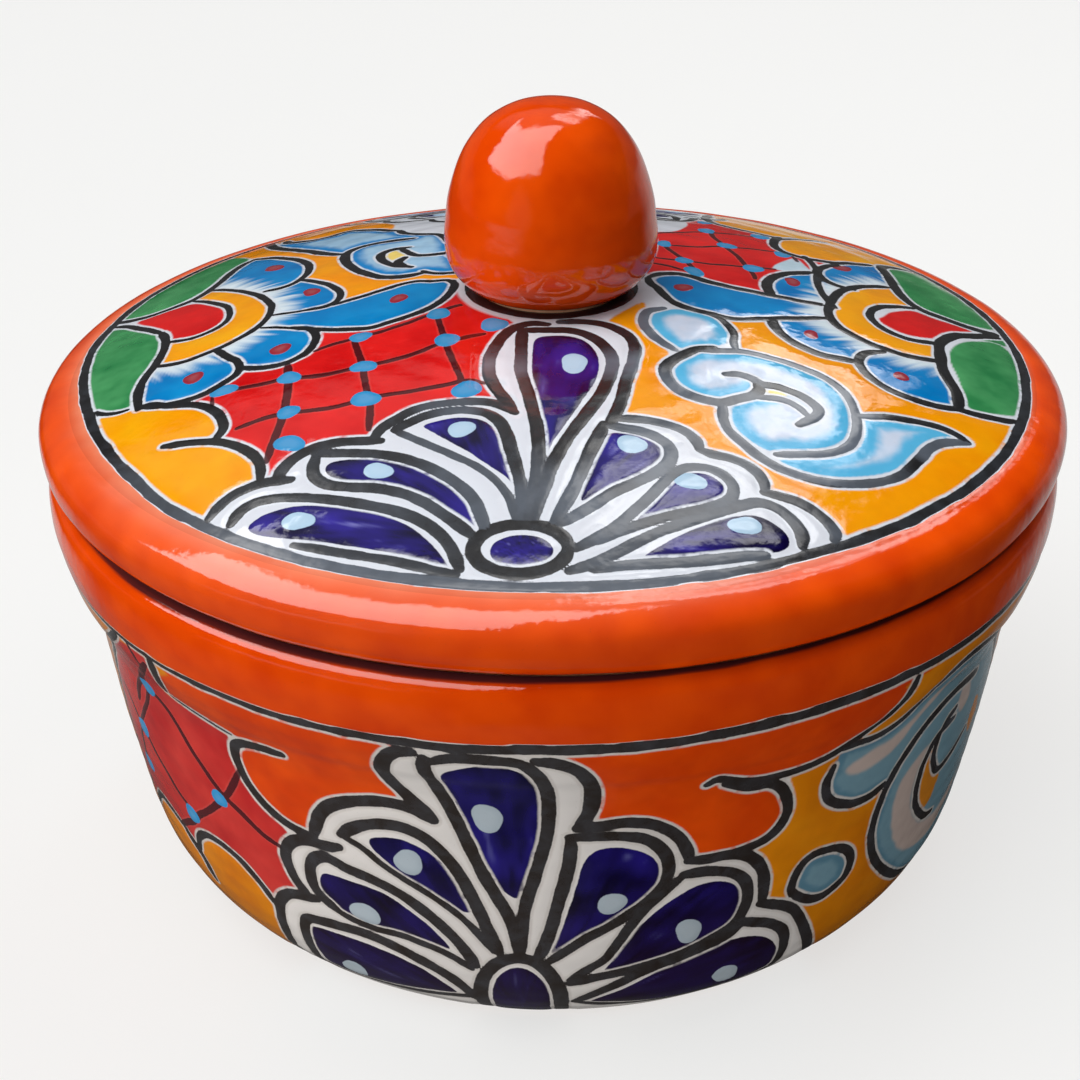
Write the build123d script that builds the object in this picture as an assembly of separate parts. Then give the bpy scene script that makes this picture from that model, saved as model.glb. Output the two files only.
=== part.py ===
from build123d import *
import math
import os

# Covered round serving dish for warm flat breads: a deep earthenware bowl with
# a thick rolled collar, and a loose domed lid that lifts straight off by a
# hollow ball knob. Everything is turned about Z. Millimetres, +Z up, the
# origin is the centre of the foot on the table.

# ---------------------------------------------------------------- dimensions
RIM_R = 125.0          # largest radius, at the rolled edge of the lid
GLAZE = 0.5            # thickness of a glaze coat
SEAT_Z = 110.9         # plane where the lid rests on the bowl
SEAT_OUT = 120.2       # outer radius of the bare contact ring
SEAT_IN = 112.0        # inner radius of the bare contact ring

FOOT_OUT = 94.0        # bare foot ring, outer radius on the table
FOOT_IN = 84.0         # bare foot ring, inner radius on the table
FOOT_RECESS = 2.6      # how far the base is hollowed inside the foot ring
FLOOR_TOP = 9.5        # top of the glazed floor inside the bowl
CREASE = (119.3, 81.7) # crease where the collar meets the wall
LINE = (124.0, 96.0)   # painted line: ornament below, plain band above
COLLAR_R = 124.7       # largest radius of the collar
MOUTH_R = 110.4        # glazed inner radius of the mouth

RING_A = (116.2, 125.9)   # painted line between the lid's ornament and its rim
DOME_RISE = 18.2          # height of the dome above that line
DOME_POWER = 2.18         # fullness of the dome
LID_WALL = 7.0            # thickness of the lid
FLANGE_OUT = 108.4        # locating flange under the lid
FLANGE_IN = 102.4
FLANGE_DROP = 7.0         # how far the flange hangs below the seat plane
VENT_R = 2.5              # vent hole under the knob, so that the ball can be fired

KNOB_R = 25.6
KNOB_WIDE_Z = 154.7
KNOB_TOP = 189.5
KNOB_BASE_R = 17.0
KNOB_BASE_Z = 144.4
KNOB_WALL = 5.0
KNOB_MOUTH_R = 9.5        # the ball is open below, over the vent


# ------------------------------------------------------------------- helpers
def dome_z(r):
    return RING_A[1] + DOME_RISE * (1.0 - (abs(r) / RING_A[0]) ** DOME_POWER)


def unit(x, y):
    n = math.hypot(x, y)
    return x / n, y / n


def offset(points, distance):
    """Moves an open run of points sideways, to the left of its direction for a
    positive distance."""
    out = []
    last = len(points) - 1
    for i, (x, y) in enumerate(points):
        a = points[max(i - 1, 0)]
        b = points[min(i + 1, last)]
        tx, ty = unit(b[0] - a[0], b[1] - a[1])
        out.append((x - ty * distance, y + tx * distance))
    return out


def edge(points):
    """One smooth edge through points in the XZ plane, or a straight one."""
    pts = [Vector(x, 0.0, z) for x, z in points]
    if len(pts) == 2:
        return Line(pts[0], pts[1])
    return Spline(*pts)


def turned(*runs):
    """Revolves the closed outline made of the runs about Z. Each run is a list
    of (radius, height) points, and starts where the one before it ends."""
    wire = Wire([edge(run) for run in runs])
    face = Face(wire)
    return revolve(face, Axis.Z, 360.0)


def save(solid, name):
    solid.label = name
    export_step(solid, "parts/" + name + ".step")


os.makedirs("parts", exist_ok=True)

# ------------------------------------------------------- surfaces of the bowl
# Glazed outside, from the bare foot up to the crease, then the collar.
WALL = [
    (100.6, 3.6), (102.8, 6.0), (105.3, 9.2), (107.5, 12.8), (109.5, 17.6),
    (110.9, 23.0), (112.7, 34.5), (114.9, 50.5), (116.6, 66.5),
    (117.6, 75.5), CREASE,
]
COLLAR_LOW = [CREASE, (121.2, 85.9), (122.9, 90.9), LINE]
COLLAR_TOP = [
    LINE, (COLLAR_R, 101.3), (COLLAR_R - 0.1, 105.7), (123.6, 108.7),
    (SEAT_OUT + 0.7, 110.4),
]
# Glazed inside, from the mouth down to the middle of the floor.
LINER = [
    (SEAT_IN - 0.9, 109.9), (MOUTH_R, 107.1), (MOUTH_R, 94.5),
    (109.6, 80.5), (108.4, 66.5), (106.8, 50.5), (104.6, 34.5), (102.0, 22.6),
    (97.6, 15.6), (91.0, 11.6), (83.0, 10.0), (73.0, FLOOR_TOP),
]

# The clay lies under the coats: outside runs go up, so their left is inwards.
outside = WALL + COLLAR_LOW[1:] + COLLAR_TOP[1:]
clay_out = offset(outside, GLAZE)
n1, n2 = len(WALL), len(WALL) + len(COLLAR_LOW) - 1
clay_wall = clay_out[:n1]
clay_low = clay_out[n1 - 1:n2]
clay_top = clay_out[n2 - 1:]
clay_in = offset(LINER, GLAZE)
clay_in[-1] = (clay_in[-1][0], FLOOR_TOP - GLAZE)

seat_edge = (SEAT_OUT, SEAT_Z)
seat_inner = (SEAT_IN, SEAT_Z)

# bowl_body: the fired clay of the bowl, with its bare foot and contact ring.
bowl_body = turned(
    [(0.0, FOOT_RECESS), (FOOT_IN - 2.5, FOOT_RECESS)],
    [(FOOT_IN - 2.5, FOOT_RECESS), (FOOT_IN, 0.0)],
    [(FOOT_IN, 0.0), (FOOT_OUT, 0.0)],
    [(FOOT_OUT, 0.0), (97.4, 0.9), clay_wall[0]],
    clay_wall,
    clay_low,
    clay_top,
    [clay_top[-1], seat_edge],
    [seat_edge, seat_inner],
    [seat_inner, clay_in[0]],
    clay_in,
    [clay_in[-1], (0.0, FLOOR_TOP - GLAZE)],
    [(0.0, FLOOR_TOP - GLAZE), (0.0, FOOT_RECESS)],
)
save(bowl_body, "bowl_body")


def coat(surface, clay):
    """The coat between a glazed run and the clay under it."""
    return turned(surface, [surface[-1], clay[-1]], list(reversed(clay)),
                  [clay[0], surface[0]])


# bowl_painted_glaze: the ornament coat, in two tangent runs across the crease.
bowl_painted = turned(
    WALL, COLLAR_LOW, [COLLAR_LOW[-1], clay_low[-1]],
    list(reversed(clay_low)), list(reversed(clay_wall)),
    [clay_wall[0], WALL[0]],
)
save(bowl_painted, "bowl_painted_glaze")

# bowl_rim_glaze: the plain coat of the collar above the painted line.
save(coat(COLLAR_TOP, clay_top), "bowl_rim_glaze")

# bowl_liner_glaze: the inside coat, from the mouth down over the whole floor.
save(turned(
    LINER, [LINER[-1], (0.0, FLOOR_TOP)], [(0.0, FLOOR_TOP), (0.0, FLOOR_TOP - GLAZE)],
    [(0.0, FLOOR_TOP - GLAZE), clay_in[-1]], list(reversed(clay_in)),
    [clay_in[0], LINER[0]],
), "bowl_liner_glaze")

# -------------------------------------------------------- surfaces of the lid
# Rolled edge, from the bare contact ring up and in to the painted line.
RIM = [
    (SEAT_OUT + 0.7, 111.4), (123.1, 113.0), (124.6, 115.7), (RIM_R, 118.8),
    (124.4, 121.6), (122.6, 123.7), (119.6, 125.1), RING_A,
]
# Dome, from the painted line in to the slip ring under the knob.
GLAZE_IN_R = 18.0
radii = [RING_A[0], 108.0, 98.0, 86.0, 73.0, 59.0, 45.0, 31.0, GLAZE_IN_R]
DOME = [(r, dome_z(r)) for r in radii]
top = RIM + DOME[1:]
clay_lid = offset(top, GLAZE)
m1 = len(RIM)
clay_rim = clay_lid[:m1]
clay_dome = clay_lid[m1 - 1:]
SLIP_IN = KNOB_MOUTH_R
SLIP_OUT = 17.4
middle = [(r, dome_z(r) - GLAZE) for r in (SLIP_OUT, 13.5, SLIP_IN)]
vent_top = (VENT_R, dome_z(VENT_R) - GLAZE)

# Underside, from the vent out to the root of the locating flange.
UNDER = [(r, dome_z(r) - LID_WALL) for r in (6.0, 22.0, 38.0, 54.0, 70.0, 84.0, 94.0)]
UNDER = UNDER + [(99.4, 121.7), (FLANGE_IN - 0.4, 117.9), (FLANGE_IN, 113.5),
                 (FLANGE_IN, SEAT_Z - FLANGE_DROP + 3.0)]
clay_under = offset(UNDER, GLAZE)
flange_bottom = SEAT_Z - FLANGE_DROP

lid_body = turned(
    [(SEAT_IN, SEAT_Z), seat_edge],
    [seat_edge, clay_rim[0]],
    clay_rim,
    clay_dome,
    [clay_dome[-1], middle[0]],
    middle,
    [middle[-1], vent_top],
    [vent_top, (VENT_R, clay_under[0][1])],
    [(VENT_R, clay_under[0][1]), clay_under[0]],
    clay_under,
    [clay_under[-1], (FLANGE_IN + GLAZE + 0.8, flange_bottom)],
    [(FLANGE_IN + GLAZE + 0.8, flange_bottom), (FLANGE_OUT - 1.6, flange_bottom)],
    [(FLANGE_OUT - 1.6, flange_bottom), (FLANGE_OUT, flange_bottom + 1.6)],
    [(FLANGE_OUT, flange_bottom + 1.6), (FLANGE_OUT, SEAT_Z - 1.2)],
    [(FLANGE_OUT, SEAT_Z - 1.2), (SEAT_IN, SEAT_Z)],
)
save(lid_body, "lid_body")

# lid_rim_glaze: the plain coat of the rolled edge.
save(coat(RIM, clay_rim), "lid_rim_glaze")
# lid_painted_glaze: the ornament coat of the dome, up to the knob.
save(coat(DOME, clay_dome), "lid_painted_glaze")
# lid_liner_glaze: the coat under the dome and down the inside of the flange.
save(coat(UNDER, clay_under), "lid_liner_glaze")

# ------------------------------------------------------------------- the knob
# Hollow thrown ball, open below, luted to the lid with a ring of slip.
KNOB = [
    (KNOB_BASE_R, KNOB_BASE_Z), (20.6, 146.4), (23.7, 149.7), (25.2, 152.7),
    (KNOB_R, KNOB_WIDE_Z + 1.4), (25.3, 161.1), (24.4, 167.1), (22.7, 173.1),
    (19.9, 179.1), (15.7, 184.3), (10.4, 187.6), (5.0, 189.2), (0.0, KNOB_TOP),
]
clay_knob = offset(KNOB, GLAZE)
clay_knob[0] = (KNOB_BASE_R - GLAZE, KNOB_BASE_Z)
clay_knob[-1] = (0.0, KNOB_TOP - GLAZE)
cavity = [
    (0.0, KNOB_TOP - KNOB_WALL), (6.5, 183.4), (12.4, 179.5), (16.4, 173.9),
    (18.8, 167.1), (20.0, 160.5), (20.3, 155.9), (18.9, 151.7),
    (14.6, 149.1), (KNOB_MOUTH_R, 148.1),
]
knob_body = turned(
    [(KNOB_MOUTH_R, KNOB_BASE_Z), clay_knob[0]],
    clay_knob,
    [clay_knob[-1], cavity[0]],
    cavity,
    [cavity[-1], (KNOB_MOUTH_R, KNOB_BASE_Z)],
)
save(knob_body, "knob_body")

# knob_glaze: the plain coat of the ball.
save(turned(
    KNOB, [KNOB[-1], clay_knob[-1]], list(reversed(clay_knob)),
    [clay_knob[0], KNOB[0]],
), "knob_glaze")

# knob_slip_ring: the ring of slip that joins the ball to the lid.
save(turned(
    [(SLIP_IN, KNOB_BASE_Z), (SLIP_OUT, KNOB_BASE_Z)],
    [(SLIP_OUT, KNOB_BASE_Z), middle[0]],
    middle,
    [middle[-1], (SLIP_IN, KNOB_BASE_Z)],
), "knob_slip_ring")
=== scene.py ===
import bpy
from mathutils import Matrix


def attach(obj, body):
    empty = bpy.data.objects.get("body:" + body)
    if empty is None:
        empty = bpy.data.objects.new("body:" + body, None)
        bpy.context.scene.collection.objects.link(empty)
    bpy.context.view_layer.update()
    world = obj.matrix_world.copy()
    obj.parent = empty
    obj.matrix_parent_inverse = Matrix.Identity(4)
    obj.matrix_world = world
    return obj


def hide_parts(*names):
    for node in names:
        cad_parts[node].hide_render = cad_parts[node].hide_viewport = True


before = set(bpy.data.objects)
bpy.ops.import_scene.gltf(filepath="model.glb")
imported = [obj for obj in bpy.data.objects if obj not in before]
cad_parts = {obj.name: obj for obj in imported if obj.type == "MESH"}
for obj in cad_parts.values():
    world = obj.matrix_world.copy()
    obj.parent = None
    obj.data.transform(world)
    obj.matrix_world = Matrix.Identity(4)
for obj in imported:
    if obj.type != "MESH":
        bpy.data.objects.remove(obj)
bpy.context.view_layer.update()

import math
import bpy
import numpy as np
from mathutils import Matrix, Vector

# ---------------------------------------------------------------- camera
cam = bpy.data.objects.new("camera", bpy.data.cameras.new("camera"))
bpy.context.scene.collection.objects.link(cam)
right = Vector((0.99996569, 0.00415482, -0.0071667))
up = Vector((0.00420265, 0.49109115, 0.87109805))
back = -Vector((-0.00713876, 0.87109828, -0.49105684))
turn = Matrix((right, up, back)).transposed().to_4x4()
cam.matrix_world = Matrix.Translation((0.0, -0.394085, 0.294769)) @ turn
cam.data.lens = 56.79
cam.data.sensor_width = 36.0
cam.data.clip_start = 0.01
bpy.context.scene.camera = cam

# ---------------------------------------------------------------- ornament
# Painted strokes and fields of the lid, in plan: millimetres, x to the right,
# y away from the viewer. Strokes are (width, tone from 0 black to 1 light slate colour,
# points): thinly brushed ink, and on the lid's front partly a painted reflection.
# Fields are (colour, outline). Dots are (x, y, two radii, tilt, kind).
LID_INK = [
# front fan: left scallops
(2.8, .12, "-70.4,-87.6 -69,-85 -67.2,-82.6 -64.5,-80.8 -60,-79.4 -54.3,-79.6"),
(2.8, .10, "-57.4,-79 -56,-75 -53,-71.6 -49,-69.7 -43.5,-69.3 -36.2,-70.2"),
(2.7, .12, "-37.8,-69.4 -36.4,-66.2 -33.4,-63 -30.5,-60.5 -26,-58.6,.45 -18.7,-57.9,.5 -13.5,-58.6,.15 -10,-60.6 -7.8,-62.8"),
# central petal, outer and inner outline
(2.9, .05, "-1,-23.8,.1 -4.7,-23.3 -8,-25 -10.7,-28.7 -12.3,-33.3 -13.7,-38.7,.4 -14,-43.3,.75 -13.7,-48,.3 -12.3,-52.7 -10.3,-57.3 -8.2,-62.5"),
(2.8, .05, "-6.5,-26.6 -6.7,-28.7 -6.8,-34.7 -6.8,-41.3,.5 -6.8,-46.2,.6 -6,-50.7 -5,-56 -4.2,-61 -3.3,-67 -2.8,-73 -2.8,-79,.3 -3.3,-86,.5 -4.3,-92,.6 -5.4,-97,.4"),
(2.8, .05, "2,-22.6,.4 6,-22.4,.2 10,-22.9 13.3,-24.4 16,-26.8 18,-30 18.9,-33.5 19,-37,.35 18.3,-41.3,.8 17.5,-45.6,.7 16.3,-50.7 15.6,-55.3 14.6,-60 13,-65 12,-67.2"),
(2.9, .05, "-7,-26.9 -4,-26.9 0,-27 4,-27.2 7.4,-28.7 10,-31.3 12,-34.7 13.2,-38,.4 13.7,-41.5,.8 13.3,-46,.7 12.2,-51 10.7,-56 8.6,-60.8 6.6,-65.2 4.6,-69.2 2.9,-73.3 1.2,-77.6 -.2,-82,.3 -1.7,-88,.6 -3,-93,.5 -3.8,-97,.4"),
# petals of the left half
(2.7, .12, "-33.4,-66.8 -30.5,-64.6 -27,-62.5 -22.5,-61.3,.5 -18,-61.3,.6 -14,-62.7 -11.2,-65.8 -9.5,-70.5 -8.4,-76 -7.2,-82 -6.3,-87,.5 -5.8,-92,.6 -5.9,-97,.5"),
(1.9, .5, "-33.5,-67.1,.1 -30.5,-69.4 -26,-72.8 -20.5,-77 -15.5,-81 -11.7,-85.2 -8.7,-90.5 -7.2,-97"),
(2.7, .15, "-49.7,-71.9 -46,-72.7 -41,-73.6 -36,-74.8 -31,-76.8 -26.5,-79.5,.3 -22.5,-82.8,.5 -18.7,-86.7,.5 -16,-90.6,.5 -14.3,-95,.6 -13.2,-99.6,.6"),
(2.7, .15, "-49.6,-72.4 -49.9,-77 -48.8,-80.4 -45.8,-82.9 -41,-84.4 -36,-85.5 -31,-87.5,.3 -26.5,-90.4,.4 -22.5,-94,.3 -18.5,-98 -15.6,-101.2"),
(2.7, .15, "-65.4,-90.6 -64,-87.4 -61.3,-85.3 -57,-84.9 -52,-85.6 -47,-86.9 -42,-88.5 -36,-90.8,.3 -30.5,-93.3,.3 -26,-96.3 -22.3,-100 -19.8,-104 -17.9,-109.4"),
(2.2, .2, "-51.6,-99.1 -47,-100.8 -42,-102.7 -36.7,-104.4 -31.3,-106.1 -26.7,-107.8 -22.7,-109.4 -18.5,-110.7"),
# petals of the right half
(2.9, .1, "11,-66.8 10,-70.7 8.4,-75.3 6.7,-80.7,.35 5.3,-85.3,.6 3.7,-90,.65 2,-94,.6 .4,-97.8,.5"),
(2.8, .75, "11,-66.9,.1 14.7,-68,.5 18.7,-69 22,-70.8 24.4,-73.5 24.8,-76.9 23.6,-80 20.7,-83 16.7,-86.1,.5 12.7,-88.8,.4 8.7,-92.5 4.7,-95.9 1.2,-98.4,.4"),
(2.5, .6, "4.6,-104.8,.2 8.7,-102 12.7,-98.6 16,-94.7 19.3,-90.6 22,-86.7 24.8,-82.8 28,-80.4 32,-80.2 35.2,-82 37,-85.3 36.3,-88.7 33.3,-91.2 28.7,-93.3,.4 23.3,-95.3,.3 18.7,-97.4,.3 13.3,-100.1 9,-102.8"),
(2.7, .5, "3.3,-110.4,.2 7.3,-108.8 12,-106 16.7,-102.7 22,-99.3 28,-96.1 33.3,-93.3 38,-90.9 42,-89.4 46,-90.8,.4 48.7,-94,.35 49.8,-97.3,.2 49.5,-100.4,.1"),
(2.6, .55, "8,-110.1,.3 13.3,-108.9 20,-108.1 26.7,-107.2 32,-106 37.3,-104.7 42,-103.8"),
(2.5, .4, "13.6,-64.9,.05 18,-64.8 22,-65.4,.5 26,-66.9,.6 28.8,-68.9,.6 30.4,-71.4,.5 30.9,-74.1"),
(2.5, .4, "30.8,-74.3 33.5,-75.6 37,-76.3 40,-77.8,.5 42.3,-80.2,.6 43.5,-83,.4 43.5,-86"),
(2.6, .2, "43.2,-86.2 46.7,-86.9 50,-87.9 53,-89.8 55.3,-92.5,.3 56.7,-95.5,.5 56.3,-97.5,.4"),
# left half flower
(2.3, .02, "-97,.5 -95,-4.7 -94.1,-10 -94.1,-14.7 -94.7,-20 -95.9,-25.3 -96.2,-30 -95.6,-35.3 -94.3,-41"),
(1.4, .02, "-105.4,-36.4 -103.3,-38.5 -100,-39.7 -97,-39.8"),
(2.3, .02, "-93.7,-40 -90.7,-40.4 -87.3,-42.6 -83.3,-43.9 -78.7,-46 -74.7,-50 -72.4,-54.7 -71.9,-58 -73.2,-61.4"),
(2.3, .02, "-84.9,-59.5 -81.7,-60 -78.2,-60.5 -73.3,-61.8 -69.3,-64 -65.3,-67.3 -62.3,-71.3 -61.2,-75 -60.9,-78"),
(2.1, .02, "-93.7,-40.4 -90,-41.6 -84.7,-42.3 -80,-41.3 -76,-38.7 -72.8,-35.3 -72,-32 -73.3,-28 -76,-24.6 -78.6,-20.8 -80,-19"),
(1.8, .02, "-94,-20.6 -90.7,-21.6 -86.7,-21.7 -82.7,-20.4 -78.7,-18.3 -74.7,-15.2 -71.4,-11.3 -69.4,-6.7 -68.9,-2.2 -69.3,2.2 -70.5,5.4 -72,8.6 -74.7,13.2 -78.7,18 -83.3,22.7 -88.4,26.6"),
(1.6, .02, "-94,-7 -90,-8.3 -86,-8.1 -82.7,-6.3 -80.5,-3.3 -79.8,0 -80.2,4 -81.7,8.6 -84.7,12.7 -88,16.2 -92.4,20.4"),
(1.8, .02, "-112.8,17.4 -108.7,14 -104.7,9.3 -100.7,4.7 -96.8,.2"),
(2.3, .02, "-112.2,20.8 -109.3,18.8 -104.7,17.9 -99.3,18.7 -95.3,20.4 -92.6,22.4 -90,26.7 -88,33.3 -87,38.7 -85.9,44 -84,50 -82,53"),
(1.2, .02, "-69,-4.6 -64,-5 -58,-5"), (1.2, .02, "-70,-11.3 -65.3,-13.3 -60,-16 -57.6,-17.4"),
(2.1, .02, "-72,-31.6 -68.7,-33.3 -64.7,-34 -60.5,-33.2 -57.3,-30.7 -55.7,-27.3 -55.1,-23.3 -56,-19.3 -58,-16.4"),
(2.0, .02, "-62,-14.6 -58,-16.6 -56,-17.7 -51.3,-19.4 -44.7,-20.7 -40.7,-20 -36,-17.4 -31.3,-14.4 -28,-10.8 -25.7,-6.8 -24.4,-2.7 -23.7,1.3 -24.2,5"),
(1.9, .02, "-60,-5 -56.5,-4.8 -53.4,-3.2 -52,0 -52.3,4 -54,8 -56.7,12 -60,15.4 -63.8,18.6"),
(1.7, .02, "-53,-4 -49,-2.2 -45.3,-.2 -41.3,2.2 -37.3,5 -33.3,6.3 -29.3,5.7 -25.6,5.4 -23.8,2.4"),
(2.1, .02, "-82,53.6 -77.3,50.8 -73.3,46.8 -69.3,42 -66,37.3 -63.8,32 -63,26.7 -63.4,22 -65.4,17.5 -68.7,15 -72.7,14.6"),
# scroll, back left
(2.6, .02, "-82.4,82 -80.4,74 -77.8,66 -74.6,60.5 -70,54 -65,47.5 -60,41.2 -56,38.2"),
(2.6, .02, "-37.3,47 -43.3,46.4 -48.7,45 -52.7,42 -54.4,37.3 -54.1,32 -52.8,26.7 -50.4,21.3 -47.3,16.7 -43.3,12.4 -39.3,10.8 -35.3,11.3 -32,12.6"),
(1.8, .02, "-32.4,14 -30,11.8 -25.3,10.8 -22.2,11.6"),
(2.3, .02, "-37.6,36.9 -42,35.8 -44.3,32.8 -44.4,28.7 -42.7,24.2 -40,20.7 -35.6,18"),
(2.2, .02, "-39.4,35.6 -37.1,30.8 -34.7,28 -30.7,27.3 -26.6,28.2 -24,29.6"),
(2.4, .02, "-37.8,27 -39.4,23.2 -37.4,19.4"), (1.6, .02, "-26.6,25.8 -24.6,22.6 -24.2,19.6"),
(2.2, .02, "-42.2,60.4 -40.2,55.4 -36.7,52 -31.6,49.6 -29,46 -27.6,41 -26.6,37"),
(2.4, .05, "-76.6,77.5 -75,72 -71.8,68.6 -67,66.6 -62,67.6 -58,71.4 -53.2,69.6 -49,66.4 -45,62.6 -42.4,60.2"),
# right-back lattice side, half flower at the right
(2.3, .02, "24.6,7 27.6,9.8 32,10.5 36,8.8 39.3,6.2 44,4.1 50,2.3 55.3,1 60,.3 66,-.4"),
(2.7, .02, "67,24.6 62.6,21.6 60,19.8 56.8,16 54.5,11.3 53.8,6.7 54.3,1.3"),
(2.2, .02, "24,6 24.4,2.6 26,-.7 27,-4 29,-8.7 32,-12 36.7,-14.1 41.3,-16 45.3,-16.1 50,-14.5 55.3,-12.8 60,-11.2 66,-8.8"),
(2.6, .02, "52.8,-13.6 52.7,-17.3 54,-22 56.7,-26 60,-28.8 64,-30.3 70.4,-30.7"),
(2.3, .02, "78,-22.8 74,-24.8 71.7,-28 71,-32 72.3,-36.7 75.3,-40.6 80,-43.3 86.7,-44.4 92,-43.7"),
(2.3, .02, "91.8,-21 88,-22.1 82.7,-22.1 77.3,-20.4 72.7,-17.3 69.3,-13.3 67.7,-8.7 67.6,-4 68.6,.2 69.4,3.3 71.4,8.7 74,13.8 78,18.6 82,22.1 87.4,25.4"),
(2.1, .02, "93.3,-10.7 88,-12 83.3,-11 80,-8 78.4,-3.3 78.7,0 80,3.3 82.7,6.7 86.7,9.4 91.4,11.3"),
(2.8, .02, "92,-43.4 93,-37.3 92.8,-33.3 92,-28 92.2,-22 93,-16.7 94,-10.7 96.7,-6 100,-2 104,.7 108.7,4 112.6,6.2"),
(2.3, .02, "92,-43.8 97.3,-43.8 102.7,-43.3 105.4,-42.2"),
(2.8, .02, "99,54.2 94.7,52.4 91.3,50 89.8,46 90,38 89.9,31.3 90,24 91,17.3 93.3,12.7 97.3,10 103.3,8 109.3,7.3 112.6,8.4"),
(2.3, .02, "76.4,38 72.7,34 70,29.3 69,24.7 70,20 72.7,17 77,16"),
(2.4, .02, "63.6,62 61.2,54 60.7,47.3 62,42.7 65.3,40 70,38.8 76,40 80,42.7 86.9,46.8"),
(2.4, .04, "47.6,101 46,91 44.8,81 46.4,73 50.7,67.4 56,64 61,61.4 64,59.8"),
(1.5, .35, "64,59.5 67,62.5 70.5,65.5 74.5,68.5 78.5,70.5"),
(1.2, .02, "60,-11 65.4,-9"), (1.2, .02, "61,.4 66.6,.6"),
# scroll, front right
(2.3, .85, "26.7,-13.2,.9 22.9,-15.6 21.6,-20 21.8,-24,.8 23.2,-28,.7 25.4,-32,.6 28,-35"),
(1.9, .3, "31,-11.6,.8 35,-13.4,.4 39.4,-16.2,.1 41.6,-20.7,.0 42.5,-25.3,.05 42,-29.3,.5 42.3,-33,.9"),
(2.8, .05, "37,-33,.2 33.2,-34.2 30.6,-36.5 28,-39.2 26.2,-41.8 25.3,-44.4,.3 25.5,-47.4,.6 26.4,-50.4,.7 28.2,-53,.7 30.8,-55.1,.6 33.8,-56.3,.6 37.1,-56.6,.5 39.4,-55.4,.5 41.6,-54.1,.6 44.4,-52.4,.6 45.8,-50 45.6,-48"),
(2.5, .8, "38.9,-44.6,.45 41.8,-44.2,.7 44.6,-45.6 46.6,-47.6,.5 50,-47.9,.1 52.4,-49,.3 55.2,-50.6,.5 57.6,-53.3 58.3,-56 57,-58.6 54.9,-60.6 53.2,-62.2,.5"),
(2.1, .85, "45,-53.2,.6 48.7,-52.9 51.7,-53.6 54,-55.5 55.4,-58"),
(2.1, .85, "34,-34.6,.3 39.2,-33.9,.6 43,-33.4 47.8,-34.4 52.2,-35.9 56.5,-37.8 59.9,-39.8,.7 62.9,-42.4,.5 65.1,-45.9 66.2,-49.8 66.6,-54.1 66.4,-58.4 65.5,-62.7 63.8,-66.6 60.8,-69.6 57.3,-71.4 53,-72.5 49.6,-73.2 47.2,-73.6,.6"),
(.7, .25, "46,-33.5 50.4,-34.7 55,-36.6 59,-38.6 62.2,-41 64.4,-43.8"),
(2.3, .6, "37.1,-57.3 36.9,-60.2 36.8,-63 37.6,-66.6 39.3,-69.6 41.5,-72.6 43.7,-75.2 46.7,-77.7 50,-79.2,.75 54.3,-80.3,.75 58.6,-80.5,.7 62.9,-79.9,.5 67.2,-78.4,.5 70.7,-76.6,.4 73.7,-74.2,.3 76,-71.4,.1 78,-68.4,.05 79.6,-66.2 81.3,-63.3 84.2,-60.2 88,-58.1 91.4,-57.2"),
(.6, .2, "48.5,-78.9 52,-80.8 56.5,-81.7 60,-81.6"),
(2.2, .05, "67.6,-55.4,.85 70.7,-54.6,.75 73.7,-53.8,.2 78,-53.3 81.5,-53.1 86,-53.5 89.4,-54.9 91.4,-56.9"),
]
LID_LINE = [   # thin dark lines of the lattices
(1.4, "-54.6,-29.6 -50,-27.4 -44.7,-25.6 -38.7,-23.2 -33.3,-20 -29.3,-17 -24,-13.2 -20,-11"),
(1.6, "-76,-42.4 -70,-41.9 -64,-41.8 -60,-41 -56,-41.7 -51.3,-42 -45.3,-40.7 -38.7,-39.3 -33.3,-37.6 -29.3,-35.2 -25.3,-32.4 -20,-30 -15.6,-28.4"),
(1.5, "-68.6,-58.6 -63,-56.6 -57,-56 -48.7,-56.3 -42.7,-54.8 -36.7,-53.4 -30.7,-52.7 -24,-51.3 -18.7,-49.7 -14.9,-50.8"),
(1.5, "-46,-26 -44.2,-33.3 -42.8,-38.7 -41.7,-45.3 -40.7,-50.7 -39.5,-56 -39,-66"),
(1.4, "-26.9,-17 -26,-22.7 -24.5,-30 -23.6,-35 -22.3,-40 -20.7,-46 -19.2,-52"),
(1.8, "-60.4,-34.5 -59.4,-41 -58.7,-48 -58.7,-58 -59.5,-65 -60.3,-72.5"),
(1.1, "-76.6,-43.4 -76,-47"),
(1.2, "28,46.8 34.7,50 40,52.7 46.7,54.8 55.3,55.4 60,57.4"),
(1.2, "31,34.8 37.3,34.7 44,37.4 52,39.1 60,40.2"),
(1.2, "26,22 34,20.7 40,20 46,20.5 52,21.2 57.6,22.2"),
(1.2, "26,17.4 30,15.4 33.3,13.3"),
(1.3, "43,58 43.7,52.7 44,48 45.6,42 46.7,36 48.7,29.3 50,22 51.3,15 51.3,12"),
(1.3, "29.4,37 30.4,31.6 32,26.7 34,21.6 36,15.4 37.4,10"),
(1.2, "64.2,38.4 64.8,33"),
]
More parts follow.
